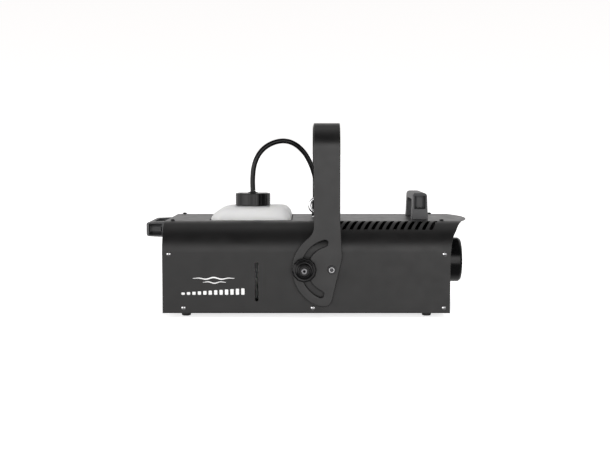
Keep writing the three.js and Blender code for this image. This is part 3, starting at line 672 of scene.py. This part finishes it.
def vent_holes(fold):
    """Slots that are straight in the flat sheet and wrap the bend once it is folded."""
    low, _, _, _, radius = fold.stretches[1]
    near, far = low + radius * VENT["from"], low + radius * VENT["to"]
    half, shift = VENT["width"] / 2, VENT["shift"] / 2
    holes = []
    for side in SIDES.values():
        for i in range(VENT["count"]):
            middle = VENT["first"] + i * VENT["pitch"]
            x_near, x_far = middle + shift, middle - shift
            corners = [
                (x_near - half, near, 1.5), (x_near + half, near, 1.5),
                (x_far + half, far, 1.5), (x_far - half, far, 1.5),
            ]
            holes.append([(x, side * s) for x, s in rounded(corners, 4)])
    return holes


def make_cover():
    low, high = box_mm("cover_shell")
    fold = cover_fold(low, high)
    outline = [(low.x, fold.length), (low.x, -fold.length), *front_edge(fold, high)]
    holes = vent_holes(fold)
    bottle_low, bottle_high = box_mm("fluid_bottle")
    gap, screw_hole, bolt_hole, hose_hole = 1.2, (2.1, 16), (3.4, 24), (5, 24)
    holes.append(rounded_box(
        bottle_low.x - gap, bottle_high.x + gap, bottle_low.y - gap, bottle_high.y + gap, 8, 8
    ))
    for name, side in SIDES.items():
        drilled = {f"side_screw_{name}_{i}": screw_hole for i in range(1, SIDE_SCREWS + 1)}
        drilled |= {f"pivot_screw_{name}": bolt_hole, f"knob_screw_{name}": bolt_hole}
        for node, hole in drilled.items():
            at = centre_mm(node)
            holes.append(circle(at.x, side * fold.s_at(at.z), *hole))
    drilled = {f"top_screw_{i}": screw_hole for i in range(1, TOP_SCREWS + 1)}
    drilled |= {"eye_bolt": bolt_hole, "hose_inlet_fitting": hose_hole}
    for node, hole in drilled.items():
        at = centre_mm(node)
        holes.append(circle(at.x, at.y, *hole))
    sight_x, sight_low, sight_high, sight_half = -71.0, 22.7, 77.2, 2.3
    holes.append(rounded_box(
        sight_x - sight_half, sight_x + sight_half,
        -fold.s_at(sight_low), -fold.s_at(sight_high), 2.2, 6,
    ))
    bm = folded(outline, holes, fold, SHEET, 0.25)
    piece("cover", bm, "casing_paint", "cover_shell", smooth=30)


# ---- Hose and fluid bottle ----

NECK_X = -81.3
HOSE_DIAMETER = 7.5
# The route's points in metres: up out of the cap, over in an arch and down to the top plate.
HOSE_ROUTE = [
    (-0.0813, 0, 0.1726), (-0.0817, 0, 0.184), (-0.0814, 0.0001, 0.195), (-0.0801, 0.0004, 0.2065),
    (-0.0771, 0.0009, 0.2174), (-0.0722, 0.0016, 0.227), (-0.0655, 0.0025, 0.235),
    (-0.0572, 0.0035, 0.2409), (-0.0476, 0.0045, 0.2449), (-0.0374, 0.0056, 0.2466),
    (-0.0272, 0.0067, 0.2454), (-0.0174, 0.0079, 0.2409), (-0.0086, 0.0091, 0.2335),
    (-0.0014, 0.0102, 0.2243), (0.0044, 0.0111, 0.2133), (0.0089, 0.012, 0.2014),
    (0.012, 0.0128, 0.1888), (0.0135, 0.0135, 0.1755), (0.0138, 0.014, 0.1606),
]


def smooth_line(points, steps=8):
    """A centripetal Catmull-Rom curve through points, as a dense list of points."""
    knots = [Vector(p) for p in points]
    knots = [2 * knots[0] - knots[1], *knots, 2 * knots[-1] - knots[-2]]
    line = []
    for p0, p1, p2, p3 in zip(knots, knots[1:], knots[2:], knots[3:]):
        t1 = (p1 - p0).length ** 0.5
        t2 = t1 + (p2 - p1).length ** 0.5
        t3 = t2 + (p3 - p2).length ** 0.5
        for i in range(steps):
            t = t1 + (t2 - t1) * i / steps
            a1 = p0.lerp(p1, t / t1)
            a2 = p1.lerp(p2, (t - t1) / (t2 - t1))
            a3 = p2.lerp(p3, (t - t2) / (t3 - t2))
            b1 = a1.lerp(a2, t / t2)
            b2 = a2.lerp(a3, (t - t1) / (t3 - t1))
            line.append(b1.lerp(b2, (t - t1) / (t2 - t1)))
    return [*line, knots[-2]]


def make_hose():
    line = smooth_line(HOSE_ROUTE)
    data = bpy.data.curves.new("hose", "CURVE")
    data.dimensions = "3D"
    data.bevel_depth = HOSE_DIAMETER / 2 * MM
    data.bevel_resolution = 6
    data.use_fill_caps = True
    add_line(data, line).use_smooth = True
    data.materials.append(MATERIALS["hose_black"])
    hose = in_scene("hose", data)
    enrol(hose, "fluid_hose", "root")


def bottle_ring(low, high, corner, reach, rise, turn, level, up):
    """One ring of a box with rounded edges, drawn in by a turn over its upper or lower edge.

    reach is how far in that edge's rounding goes at the rear, the front and the two ends, and
    rise its height.
    """
    rear, front, ends = reach
    middle = (low + high) / 2
    half = (high - low) / 2
    inset, drop = 1 - math.cos(turn), 1 - math.sin(turn)
    ring = []
    for x, y in rounded_box(low.x, high.x, low.y, high.y, corner, 10):
        u, v = (x - middle.x) / half.x, (y - middle.y) / half.y
        ring.append((
            middle.x + u * (half.x - (front if u > 0 else rear) * inset),
            middle.y + v * (half.y - ends * inset),
            level - up * drop * rise,
        ))
    return ring


def bottle_wall(low, high, corner, shoulder, rise):
    """The rings of the bottle from its base up its sides and in over its shoulder."""
    turns = [math.radians(9 * i) for i in range(11)]
    foot = (8, 8, 8)
    rings = [bottle_ring(low, high, corner, foot, 8, turn, low.z, -1) for turn in turns[::-1]]
    return rings + [
        bottle_ring(low, high, corner, shoulder, rise, turn, high.z, 1) for turn in turns
    ]


def loft_between(bm, one, other):
    for i in range(len(one)):
        j = (i + 1) % len(one)
        bm.faces.new((one[i], one[j], other[j], other[i]))


def loft(bm, rings):
    """Skins between rings of the same number of points. Returns the rows of vertices."""
    rows = [[bm.verts.new(p) for p in ring] for ring in rings]
    for below, above in zip(rows, rows[1:]):
        loft_between(bm, below, above)
    return rows


def make_bottle():
    low, high = box_mm("fluid_bottle")
    # The deck dips from the top of the shoulder to the foot of the neck.
    crest, deck, rise, wall = 150.2, 148.0, 19.0, 2.0
    neck, bore, fillet = 20.0, 17.0, 1.5
    shoulder = (30, 15, 24)
    rings = bottle_wall(low, Vector((high.x, high.y, crest)), 16, shoulder, rise)
    centre = Vector((NECK_X, 0))
    spokes = [Vector(p[:2]) - centre for p in rings[-1]]
    deck_steps = 6
    for i in range(1, deck_steps + 1):
        share = i / deck_steps
        height = deck + (crest - deck) * (1 + math.cos(share * math.pi)) / 2
        ring = [centre + out.lerp(out.normalized() * (neck + fillet), share) for out in spokes]
        rings.append([(*spot, height) for spot in ring])
    neck_line = soft_profile([
        (neck + fillet, deck, 0), (neck, deck, 1.2), (neck, high.z, 0.8), (bore, high.z, 0.5),
        (bore, deck - 2, 0),
    ], 3)
    for radius, height in neck_line[1:]:
        rings.append([(*(centre + out.normalized() * radius), height) for out in spokes])
    inner_low = low + Vector((wall, wall, wall))
    inner_high = Vector((high.x - wall, high.y - wall, deck - wall))
    inner = bottle_wall(inner_low, inner_high, 14, shoulder, rise)
    bm = bmesh.new()
    outside, inside = loft(bm, rings), loft(bm, inner)
    bm.faces.new(outside[0])
    bm.faces.new(inside[0])
    loft_between(bm, outside[-1], inside[-1])
    bmesh.ops.recalc_face_normals(bm, faces=bm.faces)
    piece("bottle", bm, "bottle_white", "fluid_bottle", smooth=50)


def faceted(count, corner_radius, groove=0.0, width=0.12):
    """A reach for revolve: flats between corners, with a narrow groove down each corner."""
    step = 2 * math.pi / count

    def reach(angle, radius, height):
        if radius < corner_radius - 2.5:
            return radius
        off = (angle % step) / step - 0.5
        flat = (1 + math.cos(step / 2) / math.cos(off * step)) / 2
        depth = groove * max(0.0, 1 - (0.5 - abs(off)) / width)
        return radius * flat - depth

    return reach


def make_cap():
    low, high = box_mm("bottle_cap")
    radius, wall, hole, ribs = 26.0, 3.0, 6.4, 18
    top = high.z
    profile = rounded([
        (hole, top - wall, 0), (radius - wall, top - wall, 1.5), (radius - wall, low.z, 0.3),
        (radius, low.z, 0.4), (radius, top - 0.4, 1.4), (radius - 3.2, top - 0.4, 0.3),
        (radius - 3.6, top, 0.3), (hole, top, 0.3),
    ], 4)
    bm = revolve(profile, 12 * ribs, faceted(ribs, radius, 0.35))
    moved(bm, (NECK_X, 0, 0))
    piece("bottle_cap_ribbed", bm, "black_plastic", "bottle_cap", "cap", "cap_plastic", smooth=24)

    low, high = box_mm("neck_ring")
    inner, outer, middle = 20.3, 24.8, (low.z + high.z) / 2
    profile = rounded([
        (inner, low.z, 0.2), (outer, low.z, 0.4), (outer, middle - 0.25, 0.15),
        (outer - 0.5, middle, 0.1), (outer, middle + 0.25, 0.15), (outer, high.z, 0.4),
        (inner, high.z, 0.2),
    ], 3)
    bm = moved(revolve(profile, 96), (NECK_X, 0, 0))
    piece("neck_ring_split", bm, "neck_ring_grey", "neck_ring")

    low, high = box_mm("cap_grommet")
    barrel, flange, tip = 5.8, 7.2, 4.1
    seat = high.z - 2.4
    profile = soft_profile([
        (0, low.z, 0), (barrel, low.z, 0.6), (barrel, seat, 0.2), (flange, seat, 0.2),
        (flange, seat + 0.6, 0.3), (tip, seat + 0.9, 0.3), (tip - 0.2, high.z, 0.2),
        (0, high.z, 0),
    ])
    bm = moved(revolve(profile, 48), (NECK_X, 0, 0))
    piece("cap_grommet_soft", bm, "rubber", "cap_grommet")


def make_inlet():
    """The hose's fitting on the top plate: a hexagon, a neck and a ribbed gland nut."""
    low, high = box_mm("hose_inlet_fitting")
    at = centre_mm("hose_inlet_fitting")
    foot = high.z - 27
    nut_low, nut_high = foot + 10.7, foot + 23.7
    base = softened(plate(circle(0, 0, 7.2, 6), [], foot, foot + 6), 0.5)
    profile = soft_profile([
        (0, low.z, 0), (3.2, low.z, 0.6), (4.6, foot - 5, 0.5), (4.6, foot + 6, 0.2),
        (6.4, foot + 6, 0.4), (6.4, foot + 7, 0.4), (5.6, foot + 7.4, 0.3),
        (5.6, nut_low, 0.2), (7.2, nut_low, 0.5), (7.2, nut_high, 1.2), (4.8, high.z - 0.6, 0.4),
        (4.8, high.z, 0.3), (0, high.z, 0),
    ])

    def ribbed(angle, radius, height):
        in_nut = radius > 6.9 and height > nut_low
        return radius - (0.35 * (1 - math.cos(12 * angle)) / 2 if in_nut else 0)

    bm = merged([base, revolve(profile, 96, ribbed)])
    piece("hose_inlet", moved(bm, (at.x, at.y, 0)), "black_plastic", "hose_inlet_fitting")


def torus(ring, stock, sides=64, section=20):
    """A round ring that stands upright in the XZ plane."""
    profile = [(ring + x, y) for x, y in circle(0, 0, stock, section)]
    return moved(revolve(profile, sides), turn=FROM_XZ)


def make_eye_bolt():
    low, high = box_mm("eye_bolt")
    at = centre_mm("eye_bolt")
    ring, stock, collar, shank, stem = 10.3, 2.4, 7.0, 3.0, 3.3
    middle = high.z - ring - stock
    foot = low.z + 16
    profile = soft_profile([
        (0, low.z, 0), (shank - 0.4, low.z, 0.2), (shank, low.z + 0.6, 0.2), (shank, foot, 0.2),
        (collar, foot, 0.5), (collar, foot + 1.8, 0.7), (stem, foot + 3.4, 1.4),
        (stem, middle - ring + 0.6, 0.4), (0, middle - ring + 0.6, 0),
    ])
    stud = moved(revolve(profile, 48), (at.x, at.y, 0))
    bm = merged([moved(torus(ring, stock), (at.x, at.y, middle)), stud])
    piece("safety_eye", bm, "zinc_plate", "eye_bolt", smooth=40)


# ---- Yoke, clamp knobs and pivots ----

WALL_FACE, ARM_FACE = 113.0, 121.0
LOBE_RADIUS = 54.5
SLOT = {"radius": 37.8, "half": 4.5, "from": math.radians(104), "to": math.radians(247)}


def arm_outline():
    """The arm's outline seen from the right, about the pivot, from its rear edge round."""
    blend, end = math.radians(128), math.radians(250)
    on_lobe = (LOBE_RADIUS * math.cos(blend), LOBE_RADIUS * math.sin(blend))
    rear, front, reach = -24.6, 11.9, 70
    line = [(rear, reach)]
    line += bezier((rear, 58.5), (rear, 49.9), on_lobe, steps=8)
    lobe = arc(0, 0, LOBE_RADIUS, blend, end, 48)
    line += lobe[1:]
    line += bezier(lobe[-1], (-3, -56), (1, -42.3), steps=14)[1:]
    line += bezier((13.6, 10), (15.1, 16.4), (14.6, 22), steps=8)
    return [*line, (front, reach)]


def arc_slot():
    radius, half, start, end = SLOT.values()
    tips = [(radius * math.cos(a), radius * math.sin(a)) for a in (start, end)]
    line = arc(0, 0, radius + half, start, end, 40)
    line += arc(*tips[1], half, end, end + math.pi, 12)[1:]
    line += arc(0, 0, radius - half, end, start, 40)[1:]
    line += arc(*tips[0], half, start + math.pi, start + 2 * math.pi, 12)[1:-1]
    return line


def make_yoke():
    _, high = box_mm("yoke")
    pivot = centre_mm("pivot_screw_right")
    sheet, bend, drop = 3.0, 35.0, 65.0
    fold = Fold(high.z, [(high.y - bend,), (bend, math.pi / 2), (high.z - bend - pivot.z + drop,)])

    def laid_flat(points, side):
        return [(pivot.x + u, side * fold.s_at(pivot.z + v)) for u, v in points]

    arm, slot, hole = arm_outline(), arc_slot(), circle(0, 0, 3.6)
    outline = laid_flat(arm, 1) + laid_flat(arm, -1)[::-1]
    holes = [laid_flat(shape, side) for shape in (slot, hole) for side in SIDES.values()]
    strap_middle = pivot.x + (arm[0][0] + arm[-1][0]) / 2
    holes.append(circle(strap_middle, 0, 5.5, 40))
    bm = folded(outline, holes, fold, sheet, 1.0, 1.5, 3)
    piece("yoke_strap", bm, "bracket_paint", "yoke", "yoke", smooth=32)


def fluted(count, depth, above):
    """A reach for revolve: round flutes in what lies outside a radius."""
    def reach(angle, radius, height):
        share = min(1.0, max(0.0, (radius - above) / 2))
        return radius - share * depth * (1 - math.cos(count * angle)) / 2

    return reach


def hex_socket(radius, low, high):
    """What a hexagon socket takes away: six walls, and a cone that keeps its floor dark."""
    cone = revolve([(0, low - 1.6 * radius), (radius * 0.86, low + 0.05), (0, low + 0.05)], 24)
    return [plate(circle(0, 0, radius, 6), [], low, high), cone]


def make_knob(name):
    """A clamp knob on the arm's outer face: a fluted flange, a step, a hub and a dished face."""
    at = centre_mm(f"clamp_knob_{name}")
    radius, flutes = 16.9, 12
    profile = rounded([
        (3.4, 0.3, 0), (radius - 0.8, 0.3, 0.5), (radius, 3.2, 1.5), (radius, 7.2, 1.2),
        (radius - 1.6, 8.5, 1.6), (12.4, 8.1, 0.6), (12.0, 10.6, 1.0), (9.9, 10.9, 0.8),
        (9.5, 19.0, 1.5), (7.6, 19.0, 0.5), (7.0, 17.6, 0.3), (3.4, 17.6, 0),
    ], 4)
    grip = revolve(profile, 16 * flutes, fluted(flutes, 0.5, 13))
    place = (at.x, SIDES[name] * ARM_FACE, at.z)
    bm = moved(grip, place, OUTWARD[name])
    piece(
        f"clamp_knob_grip_{name}", bm, "black_plastic", f"clamp_knob_{name}", f"knob_{name}",
        "knob_plastic",
    )

    profile = soft_profile([
        (0, -14, 0), (2.6, -14, 0.3), (3, -13.2, 0.2), (3, 18.8, 0.1), (4.5, 18.8, 0.3),
        (4.5, 20.9, 0.5), (3.6, 22, 0.6), (0, 22, 0),
    ])
    screw = cut(revolve(profile, 48), *hex_socket(2.3, 17.5, 24))
    bm = moved(screw, place, OUTWARD[name])
    piece(
        f"knob_bolt_{name}", bm, "zinc_plate", f"knob_screw_{name}", f"knob_{name}", "screw_dim",
    )


def make_pivot(name):
    """The arm's pivot: a spacer against the casing, and a washer and a socket screw outside."""
    at = centre_mm(f"pivot_screw_{name}")
    side, turn = SIDES[name], OUTWARD[name]
    wall, arm = (at.x, side * WALL_FACE, at.z), (at.x, side * ARM_FACE, at.z)
    ring = rounded([(3.6, 0.3, 0.2), (9, 0.3, 0.5), (9, 4.7, 0.5), (3.6, 4.7, 0.2)])
    bm = moved(revolve(ring, 48), wall, turn)
    piece(f"pivot_bush_{name}", bm, "nylon", f"pivot_spacer_{name}")
    ring = rounded([(3.6, 0.3, 0.1), (6.25, 0.3, 0.2), (6.25, 1.3, 0.4), (3.6, 1.3, 0.2)])
    bm = moved(revolve(ring, 48), arm, turn)
    piece(
        f"pivot_washer_round_{name}", bm, "screw_black", f"pivot_washer_{name}",
        finish="washer_black",
    )
    profile = soft_profile([
        (0, -15, 0), (2.6, -15, 0.3), (3, -14.3, 0.2), (3, 1.6, 0.1), (4.6, 1.6, 0.4),
        (4.6, 4.4, 0.9), (3.7, 5.2, 0.4), (0, 5.2, 0),
    ])
    screw = cut(revolve(profile, 48), *hex_socket(3.3, 1.6, 7))
    bm = moved(screw, arm, turn)
    piece(f"pivot_bolt_{name}", bm, "screw_black", f"pivot_screw_{name}", finish="screw_bright")


# ---- Casing screws ----


def pan_head_screw():
    """A screw on z = 0 that points up, with a cross recess in its domed head."""
    profile = [(0, -6), (1.2, -6), (1.5, -5.5), (1.5, 0.3), (3.0, 0.3), (3.2, 0.5), (3.2, 0.9)]
    profile += [(3.2 * math.cos(a), 0.9 + 1.4 * math.sin(a)) for a in (
        math.radians(12 * i) for i in range(1, 7)
    )]
    profile += [(0.5, 2.3), (0, 2.3)]
    # The recess narrows as it goes down, from (reach, half width, height) to the same.
    mouth, tip = (1.9, 0.62, 2.6), (0.3, 0.28, -0.4)
    cross = []
    for turn in (0, math.pi / 2):
        slot = bmesh.new()
        for reach, half, height in (mouth, tip):
            for x, y in ((reach, half), (-reach, half), (-reach, -half), (reach, -half)):
                slot.verts.new((x, y, height))
        bmesh.ops.convex_hull(slot, input=slot.verts)
        cross.append(moved(slot, turn=Matrix.Rotation(turn, 4, "Z")))
    return as_mesh(cut(revolve(profile, 40), *cross), "pan_head_screw", 40)


def place_screw(name, mesh, at, turn, spin, nodes=(), finish=None):
    """One copy of a shared screw, stood on a surface and spun about its own axis."""
    screw = add_object(name, mesh, "screw_black")
    if finish:
        screw.material_slots[0].link = "OBJECT"
        screw.material_slots[0].material = MATERIALS[finish]
    spun = turn @ Matrix.Rotation(math.radians(spin), 4, "Z")
    screw.matrix_world = Matrix.Translation(Vector(at) * MM) @ spun
    enrol(screw, nodes, "root")


def make_casing_screws(mesh):
    for name, side in SIDES.items():
        for i in range(1, SIDE_SCREWS + 1):
            node = f"side_screw_{name}_{i}"
            at = centre_mm(node)
            place = (at.x, side * WALL_FACE, at.z)
            spin = 45 + 6 * math.sin(2.4 * i)
            place_screw(f"{node}_cross", mesh, place, OUTWARD[name], spin, node)
    for i in range(1, TOP_SCREWS + 1):
        node = f"top_screw_{i}"
        at = centre_mm(node)
        place_screw(
            f"{node}_cross", mesh, (at.x, at.y, 133.0), Matrix(), 11 + 53 * i, node, "washer_black"
        )


# ---- Carry handles, nozzle and feet ----

HANDLE = {"half": 50.0, "height": 38.0, "base": 14.5, "pocket": 13.0, "top": 33.6}


def handle_body():
    """A moulded bridge on z = 0, long along Y, with a deep screw pocket in each end."""
    half, height, base, pocket, top = HANDLE.values()
    inner, under = half - 15, height - 9.5
    bridge = rounded([
        (half, 0, 0), (half, height, 7.5), (-half, height, 7.5), (-half, 0, 0), (-inner, 0, 0),
        (-inner, under, 7), (inner, under, 7), (inner, 0, 0),
    ], 8)
    foot, crest, crown = 11.7, 10.0, 0.9
    across = rounded([
        (foot, -1, 0), (crest, height - crown, 4), (0, height + crown, 22),
        (-crest, height - crown, 4), (-foot, -1, 0),
    ], 5)
    body = moved(plate(bridge, [], -foot, foot), turn=FROM_YZ)
    long_form = moved(plate(across, [], -half - 1, half + 1), turn=FROM_XZ)
    body = modified(body, boolean("INTERSECT", long_form))
    cutters = []
    for end in (1, -1):
        plan = rounded([
            (8.3, end * (half + 2), 0), (7.8, end * (half - pocket), 6.2),
            (-7.8, end * (half - pocket), 6.2), (-8.3, end * (half + 2), 0),
        ], 8)
        cutters.append(plate(plan, [], base, top, 0.8, 2))
    body = softened(cut(body, *cutters), 0.9, 3)
    bmesh.ops.remove_doubles(body, verts=body.verts, dist=1e-3)
    return body


def make_handles(screw_mesh):
    top_low, _ = box_mm("top_handle")
    _, rear_high = box_mm("rear_handle")
    top_at, rear_at = centre_mm("top_handle"), centre_mm("rear_handle")
    half, base = HANDLE["half"], HANDLE["base"]
    spots = [
        ("top_handle", (top_at.x, 0, top_low.z), Matrix()),
        ("rear_handle", (rear_high.x, 0, rear_at.z), POINT_REAR),
    ]
    for node, place, turn in spots:
        bm = moved(handle_body(), place, turn)
        piece(f"{node}_moulded", bm, "moulded_plastic", node, smooth=40)
        for i, end in enumerate((1, -1)):
            spot = Vector(place) + turn @ Vector((0, end * (half - 5), base))
            place_screw(
                f"{node}_screw_{i + 1}", screw_mesh, spot, turn, 25 + 40 * i,
                finish="washer_black",
            )


def make_nozzle_end():
    low, high = box_mm("nozzle_ring")
    at = centre_mm("nozzle_ring")
    radius, bore = 33.0, 28.5
    profile = rounded([
        (bore, low.x, 0.3), (radius, low.x, 0.3), (radius, low.x + 2.2, 0.3),
        (radius - 0.4, low.x + 2.6, 0.2), (radius, low.x + 3.0, 0.3), (radius, high.x, 4.4),
        (radius - 3.1, high.x, 1.2), (bore, high.x - 2.4, 2.5),
    ], 8)
    bm = moved(revolve(profile, 128), (0, 0, at.z), POINT_FRONT)
    piece("nozzle_ring_moulded", bm, "black_plastic", "nozzle_ring")

    low, high = box_mm("nozzle")
    flange, body, bore = 8.5, 5.5, 1.6
    front = high.x
    profile = rounded([
        (bore, low.x, 0), (body, low.x, 0.4), (body, front - 9, 0.4), (flange, front - 9, 0.5),
        (flange, front - 4, 0.7), (body, front - 2.6, 0.8), (body - 1.2, front, 0.6),
        (bore, front, 0.3),
    ])
    six = faceted(6, flange)
    bm = revolve(profile, 96, lambda angle, r, h: six(angle, r, h) if r > 8 else r)
    piece("nozzle_jet", moved(bm, (0, 0, at.z), POINT_FRONT), "brass", "nozzle")


def make_feet():
    top, bottom, height = 7.25, 6.1, 5.7
    profile = soft_profile([
        (0, 1.6, 0), (2.6, 1.6, 0.4), (3.0, 0, 0.5), (bottom, 0, 0.9),
        (top - 0.2, height - 1.2, 0.4), (top, height, 0.3), (0, height, 0),
    ])
    mesh = as_mesh(revolve(profile, 64), "foot")
    for end in ("rear", "front"):
        for side in SIDES:
            node = f"foot_{end}_{side}"
            at = centre_mm(node)
            foot = add_object(f"{node}_moulded", mesh, "rubber")
            foot.matrix_world = Matrix.Translation(Vector((at.x, at.y, 0)) * MM)
            enrol(foot, node, "root")


# ---- Rear fittings ----

REAR_FACE = -196.1


def rear_piece(name, parts, at, nodes=(), body="root", finish=None):
    """A piece on the rear panel, its parts drawn in (y, z) about at and pointing back."""
    bm = moved(merged(parts), (REAR_FACE, at.y, at.z), TO_REAR)
    piece(name, bm, "black_plastic", nodes, body, finish)


def make_mains_inlet():
    """A mains inlet: a flange, a socket with three blades and, below, a fuse drawer."""
    at = centre_mm("mains_inlet")
    flange = 3.0
    mouth, mouth_z = Vector((11.5, 8.0)), 8.0
    drawer, drawer_at = Vector((10.0, 4.5)), (0, -13.0)
    half_mouth = [
        (mouth.x, mouth_z - mouth.y, 1.2), (mouth.x, mouth_z + 3, 2), (7, mouth_z + mouth.y, 2),
    ]
    socket = rounded(half_mouth + [(-y, z, corner) for y, z, corner in half_mouth[::-1]], 4)
    back = block(12.8, 20, 2, -26, 0.6)
    slot = block(drawer.x + 0.3, drawer.y + 0.3, 0.6, -20.3, 5, at=drawer_at, steps=3)
    shell = modified(block(15, 24, 2.5, 0.3, flange, 0.5), boolean("UNION", back))
    shell = cut(shell, plate(socket, [], -13, 5), slot)
    rim = block(13.6, 9.8, 2.5, flange - 0.2, flange + 0.9, 0.3, (0, 8.2), holes=[socket])
    blades = [
        block(1, 2, 0.3, -14, 0.6, 0.25, (y, mouth_z + z), 2)
        for y, z in ((-7, -1.5), (0, 2.5), (7, -1.5))
    ]
    rear_piece("mains_inlet_shell", [shell, rim], at, "mains_inlet")
    rear_piece("mains_inlet_blades", blades, at, finish="zinc_plate")

    front = block(*drawer, 0.6, -19.5, 3.2, 0.4, drawer_at, 3)
    pull = block(5, 1.5, 0.5, 2.6, 5, 0.4, drawer_at, 3)
    ribs = [block(0.4, 1.7, 0.2, 3, 5.2, at=(y, drawer_at[1]), steps=2) for y in (-3, -1, 1, 3)]
    rear_piece("fuse_drawer_front", [front, pull, *ribs], at, "fuse_drawer", "fuse_drawer")


def make_power_switch():
    """A rocker switch: a bezel with a deep well, and a rocker that shows two faces."""
    at = centre_mm("power_switch_frame")
    flange, half = 2.0, 8.0
    well = rounded_box(-half - 0.4, half + 0.4, -12.8, 12.8, 0.8, 3)
    lip_hole = rounded_box(-half - 0.6, half + 0.6, -13, 13, 0.8, 3)
    frame_parts = [
        block(12, 15.5, 2, 0.3, flange, 0.5, holes=[well]),
        block(10.4, 14.2, 1.6, flange - 0.2, flange + 0.7, 0.3, holes=[lip_hole]),
        block(9.8, 13.9, 1, -20, 0.5, holes=[well]),
        block(9.8, 13.9, 1, -21.7, -19.9),
    ]
    rear_piece("power_switch_bezel", frame_parts, at, "power_switch_frame")

    # The rocker's section: two flat faces that meet at a shallow middle, over a round back.
    axis, tilt = REAR_FACE + 3.7, math.radians(12)
    face, crest_at, crest, dip = 8.5, 8.8, 8.7, 6.6
    back = arc(0, 0, 11.8, math.radians(200), math.radians(340), 14)
    section = [
        *back, (11.2, 2), (9.6, face), (crest_at, crest), (0, dip), (-crest_at, crest),
        (-9.6, face), (-11.2, 2),
    ]
    outline = [
        (z * math.cos(tilt) - x * math.sin(tilt), z * math.sin(tilt) + x * math.cos(tilt))
        for z, x in section
    ]
    # Drawn in (z, out of the panel), with the width along Y.
    stand = Matrix(((0, -1, 0, 0), (0, 0, 1, 0), (1, 0, 0, 0), (0, 0, 0, 1)))
    rocker = moved(plate(outline, [], -half, half, 0.35), (axis, at.y, at.z), stand)
    piece("power_rocker_two_faced", rocker, "black_plastic", "power_rocker", "rocker")

    # The usual bar and circle, printed on the two faces.
    marks = [
        block(0.4, 1.9, 0.2, -0.05, 0.08, steps=2),
        plate(circle(0, 0, 1.9, 24), [circle(0, 0, 1.2, 24)], -0.05, 0.08),
    ]
    rise, out = math.atan2(crest - dip, crest_at), 5.0
    for side, mark in zip((1, -1), marks):
        on_face = (0, side * out, dip + out * math.tan(rise))
        moved(mark, on_face, Matrix.Rotation(side * rise, 4, "X"))
        moved(mark, turn=Matrix.Rotation(tilt, 4, "X"))
        moved(mark, (axis, at.y, at.z), TO_REAR)
    piece("power_rocker_marks", merged(marks), "black_plastic", (), "rocker", "print_white")


def make_remote_socket(screw_mesh):
    """A round five-pin socket for a remote control, on a square plate."""
    at = centre_mm("remote_socket")
    half, flange, bore, depth = 15.0, 2.5, 8.5, 12.0
    front = block(half, half, 2.5, 0.3, flange, 0.5, holes=[circle(0, 0, bore, 48)])
    collar = rounded([
        (bore - 0.3, -depth, 0), (bore + 1.6, -depth, 0.3), (bore + 1.6, flange + 1.4, 0.5),
        (bore - 0.3, flange + 1.4, 0.5),
    ], 3)
    floor = plate(circle(0, 0, bore + 1.4, 48), [], -depth - 2, -depth + 0.6)
    key = block(1.2, 0.7, 0.4, -depth, 1.8, 0.2, (0, 0.7 - bore), 3)
    rear_piece("remote_socket_shell", [front, revolve(collar, 64), floor, key], at, "remote_socket")
    pins = []
    for degrees in (72, 144, 216, 288, 0):
        y, z = (5 * trig(math.radians(degrees)) for trig in (math.sin, math.cos))
        pin = soft_profile([(0, -depth, 0), (0.9, -depth, 0), (0.9, -2.4, 0.5), (0, -2.4, 0)], 4)
        pins.append(moved(revolve(pin, 20), (y, z, 0)))
    rear_piece("remote_socket_pins", pins, at, finish="brass")
    for i, offset in enumerate((-11.8, 11.8)):
        place = (REAR_FACE - 2.4, at.y + offset, at.z + offset)
        place_screw(f"remote_socket_screw_{i + 1}", screw_mesh, place, POINT_REAR, 30 + 50 * i)


# ---- Print on the right wall ----


def make_print():
    """A generic mark with no lettering: two lines of drifting fog over a rising level gauge."""
    left, foot, width, steps = -176.0, 32.0, 88.0, 60
    shapes = []
    for row, (start, end, height, thick) in enumerate((
        (16, 74, 23.0, 1.6), (30, 62, 17.5, 1.1),
    )):
        top, bottom = [], []
        for i in range(steps + 1):
            share = i / steps
            x = left + start + (end - start) * share
            wave = 1.3 * math.sin(share * math.pi * (5 - 2 * row)) * math.sin(share * math.pi)
            half = thick / 2 * math.sin(math.pi * (0.06 + 0.88 * share)) + 0.15
            top.append((x, foot + height + wave + half))
            bottom.append((x, foot + height + wave - half))
        shapes.append(bottom + top[::-1])
    bars, bar = 12, 4.6
    pitch = (width - bar) / (bars - 1)
    for i in range(bars):
        start = left + pitch * i
        level = 3.2 + 5.8 * i / (bars - 1)
        shapes.append(rounded_box(start, start + bar, foot, foot + level, 1))
    thin = 0.04
    parts = [plate(shape, [], -thin, thin) for shape in shapes]
    bm = moved(merged(parts), (0, -WALL_FACE - 0.06, 0), FROM_XZ)
    piece("fog_mark_print", bm, "casing_paint", finish="print_white")


make_materials()
make_studio()
make_hose()
make_cover()
make_bottle()
make_cap()
make_inlet()
make_eye_bolt()
make_yoke()
for side_name in SIDES:
    make_knob(side_name)
    make_pivot(side_name)
screw_mesh = pan_head_screw()
make_casing_screws(screw_mesh)
make_handles(screw_mesh)
make_nozzle_end()
make_feet()
make_mains_inlet()
make_power_switch()
make_remote_socket(screw_mesh)
make_print()

# CAD nodes that still show take a finish of their own slot.
for row in frame["record"]["subparts"]:
    node = frame["nodes"][row["node"]]
    node.data.materials.clear()
    node.data.materials.append(MATERIALS[row["material_slot"]])
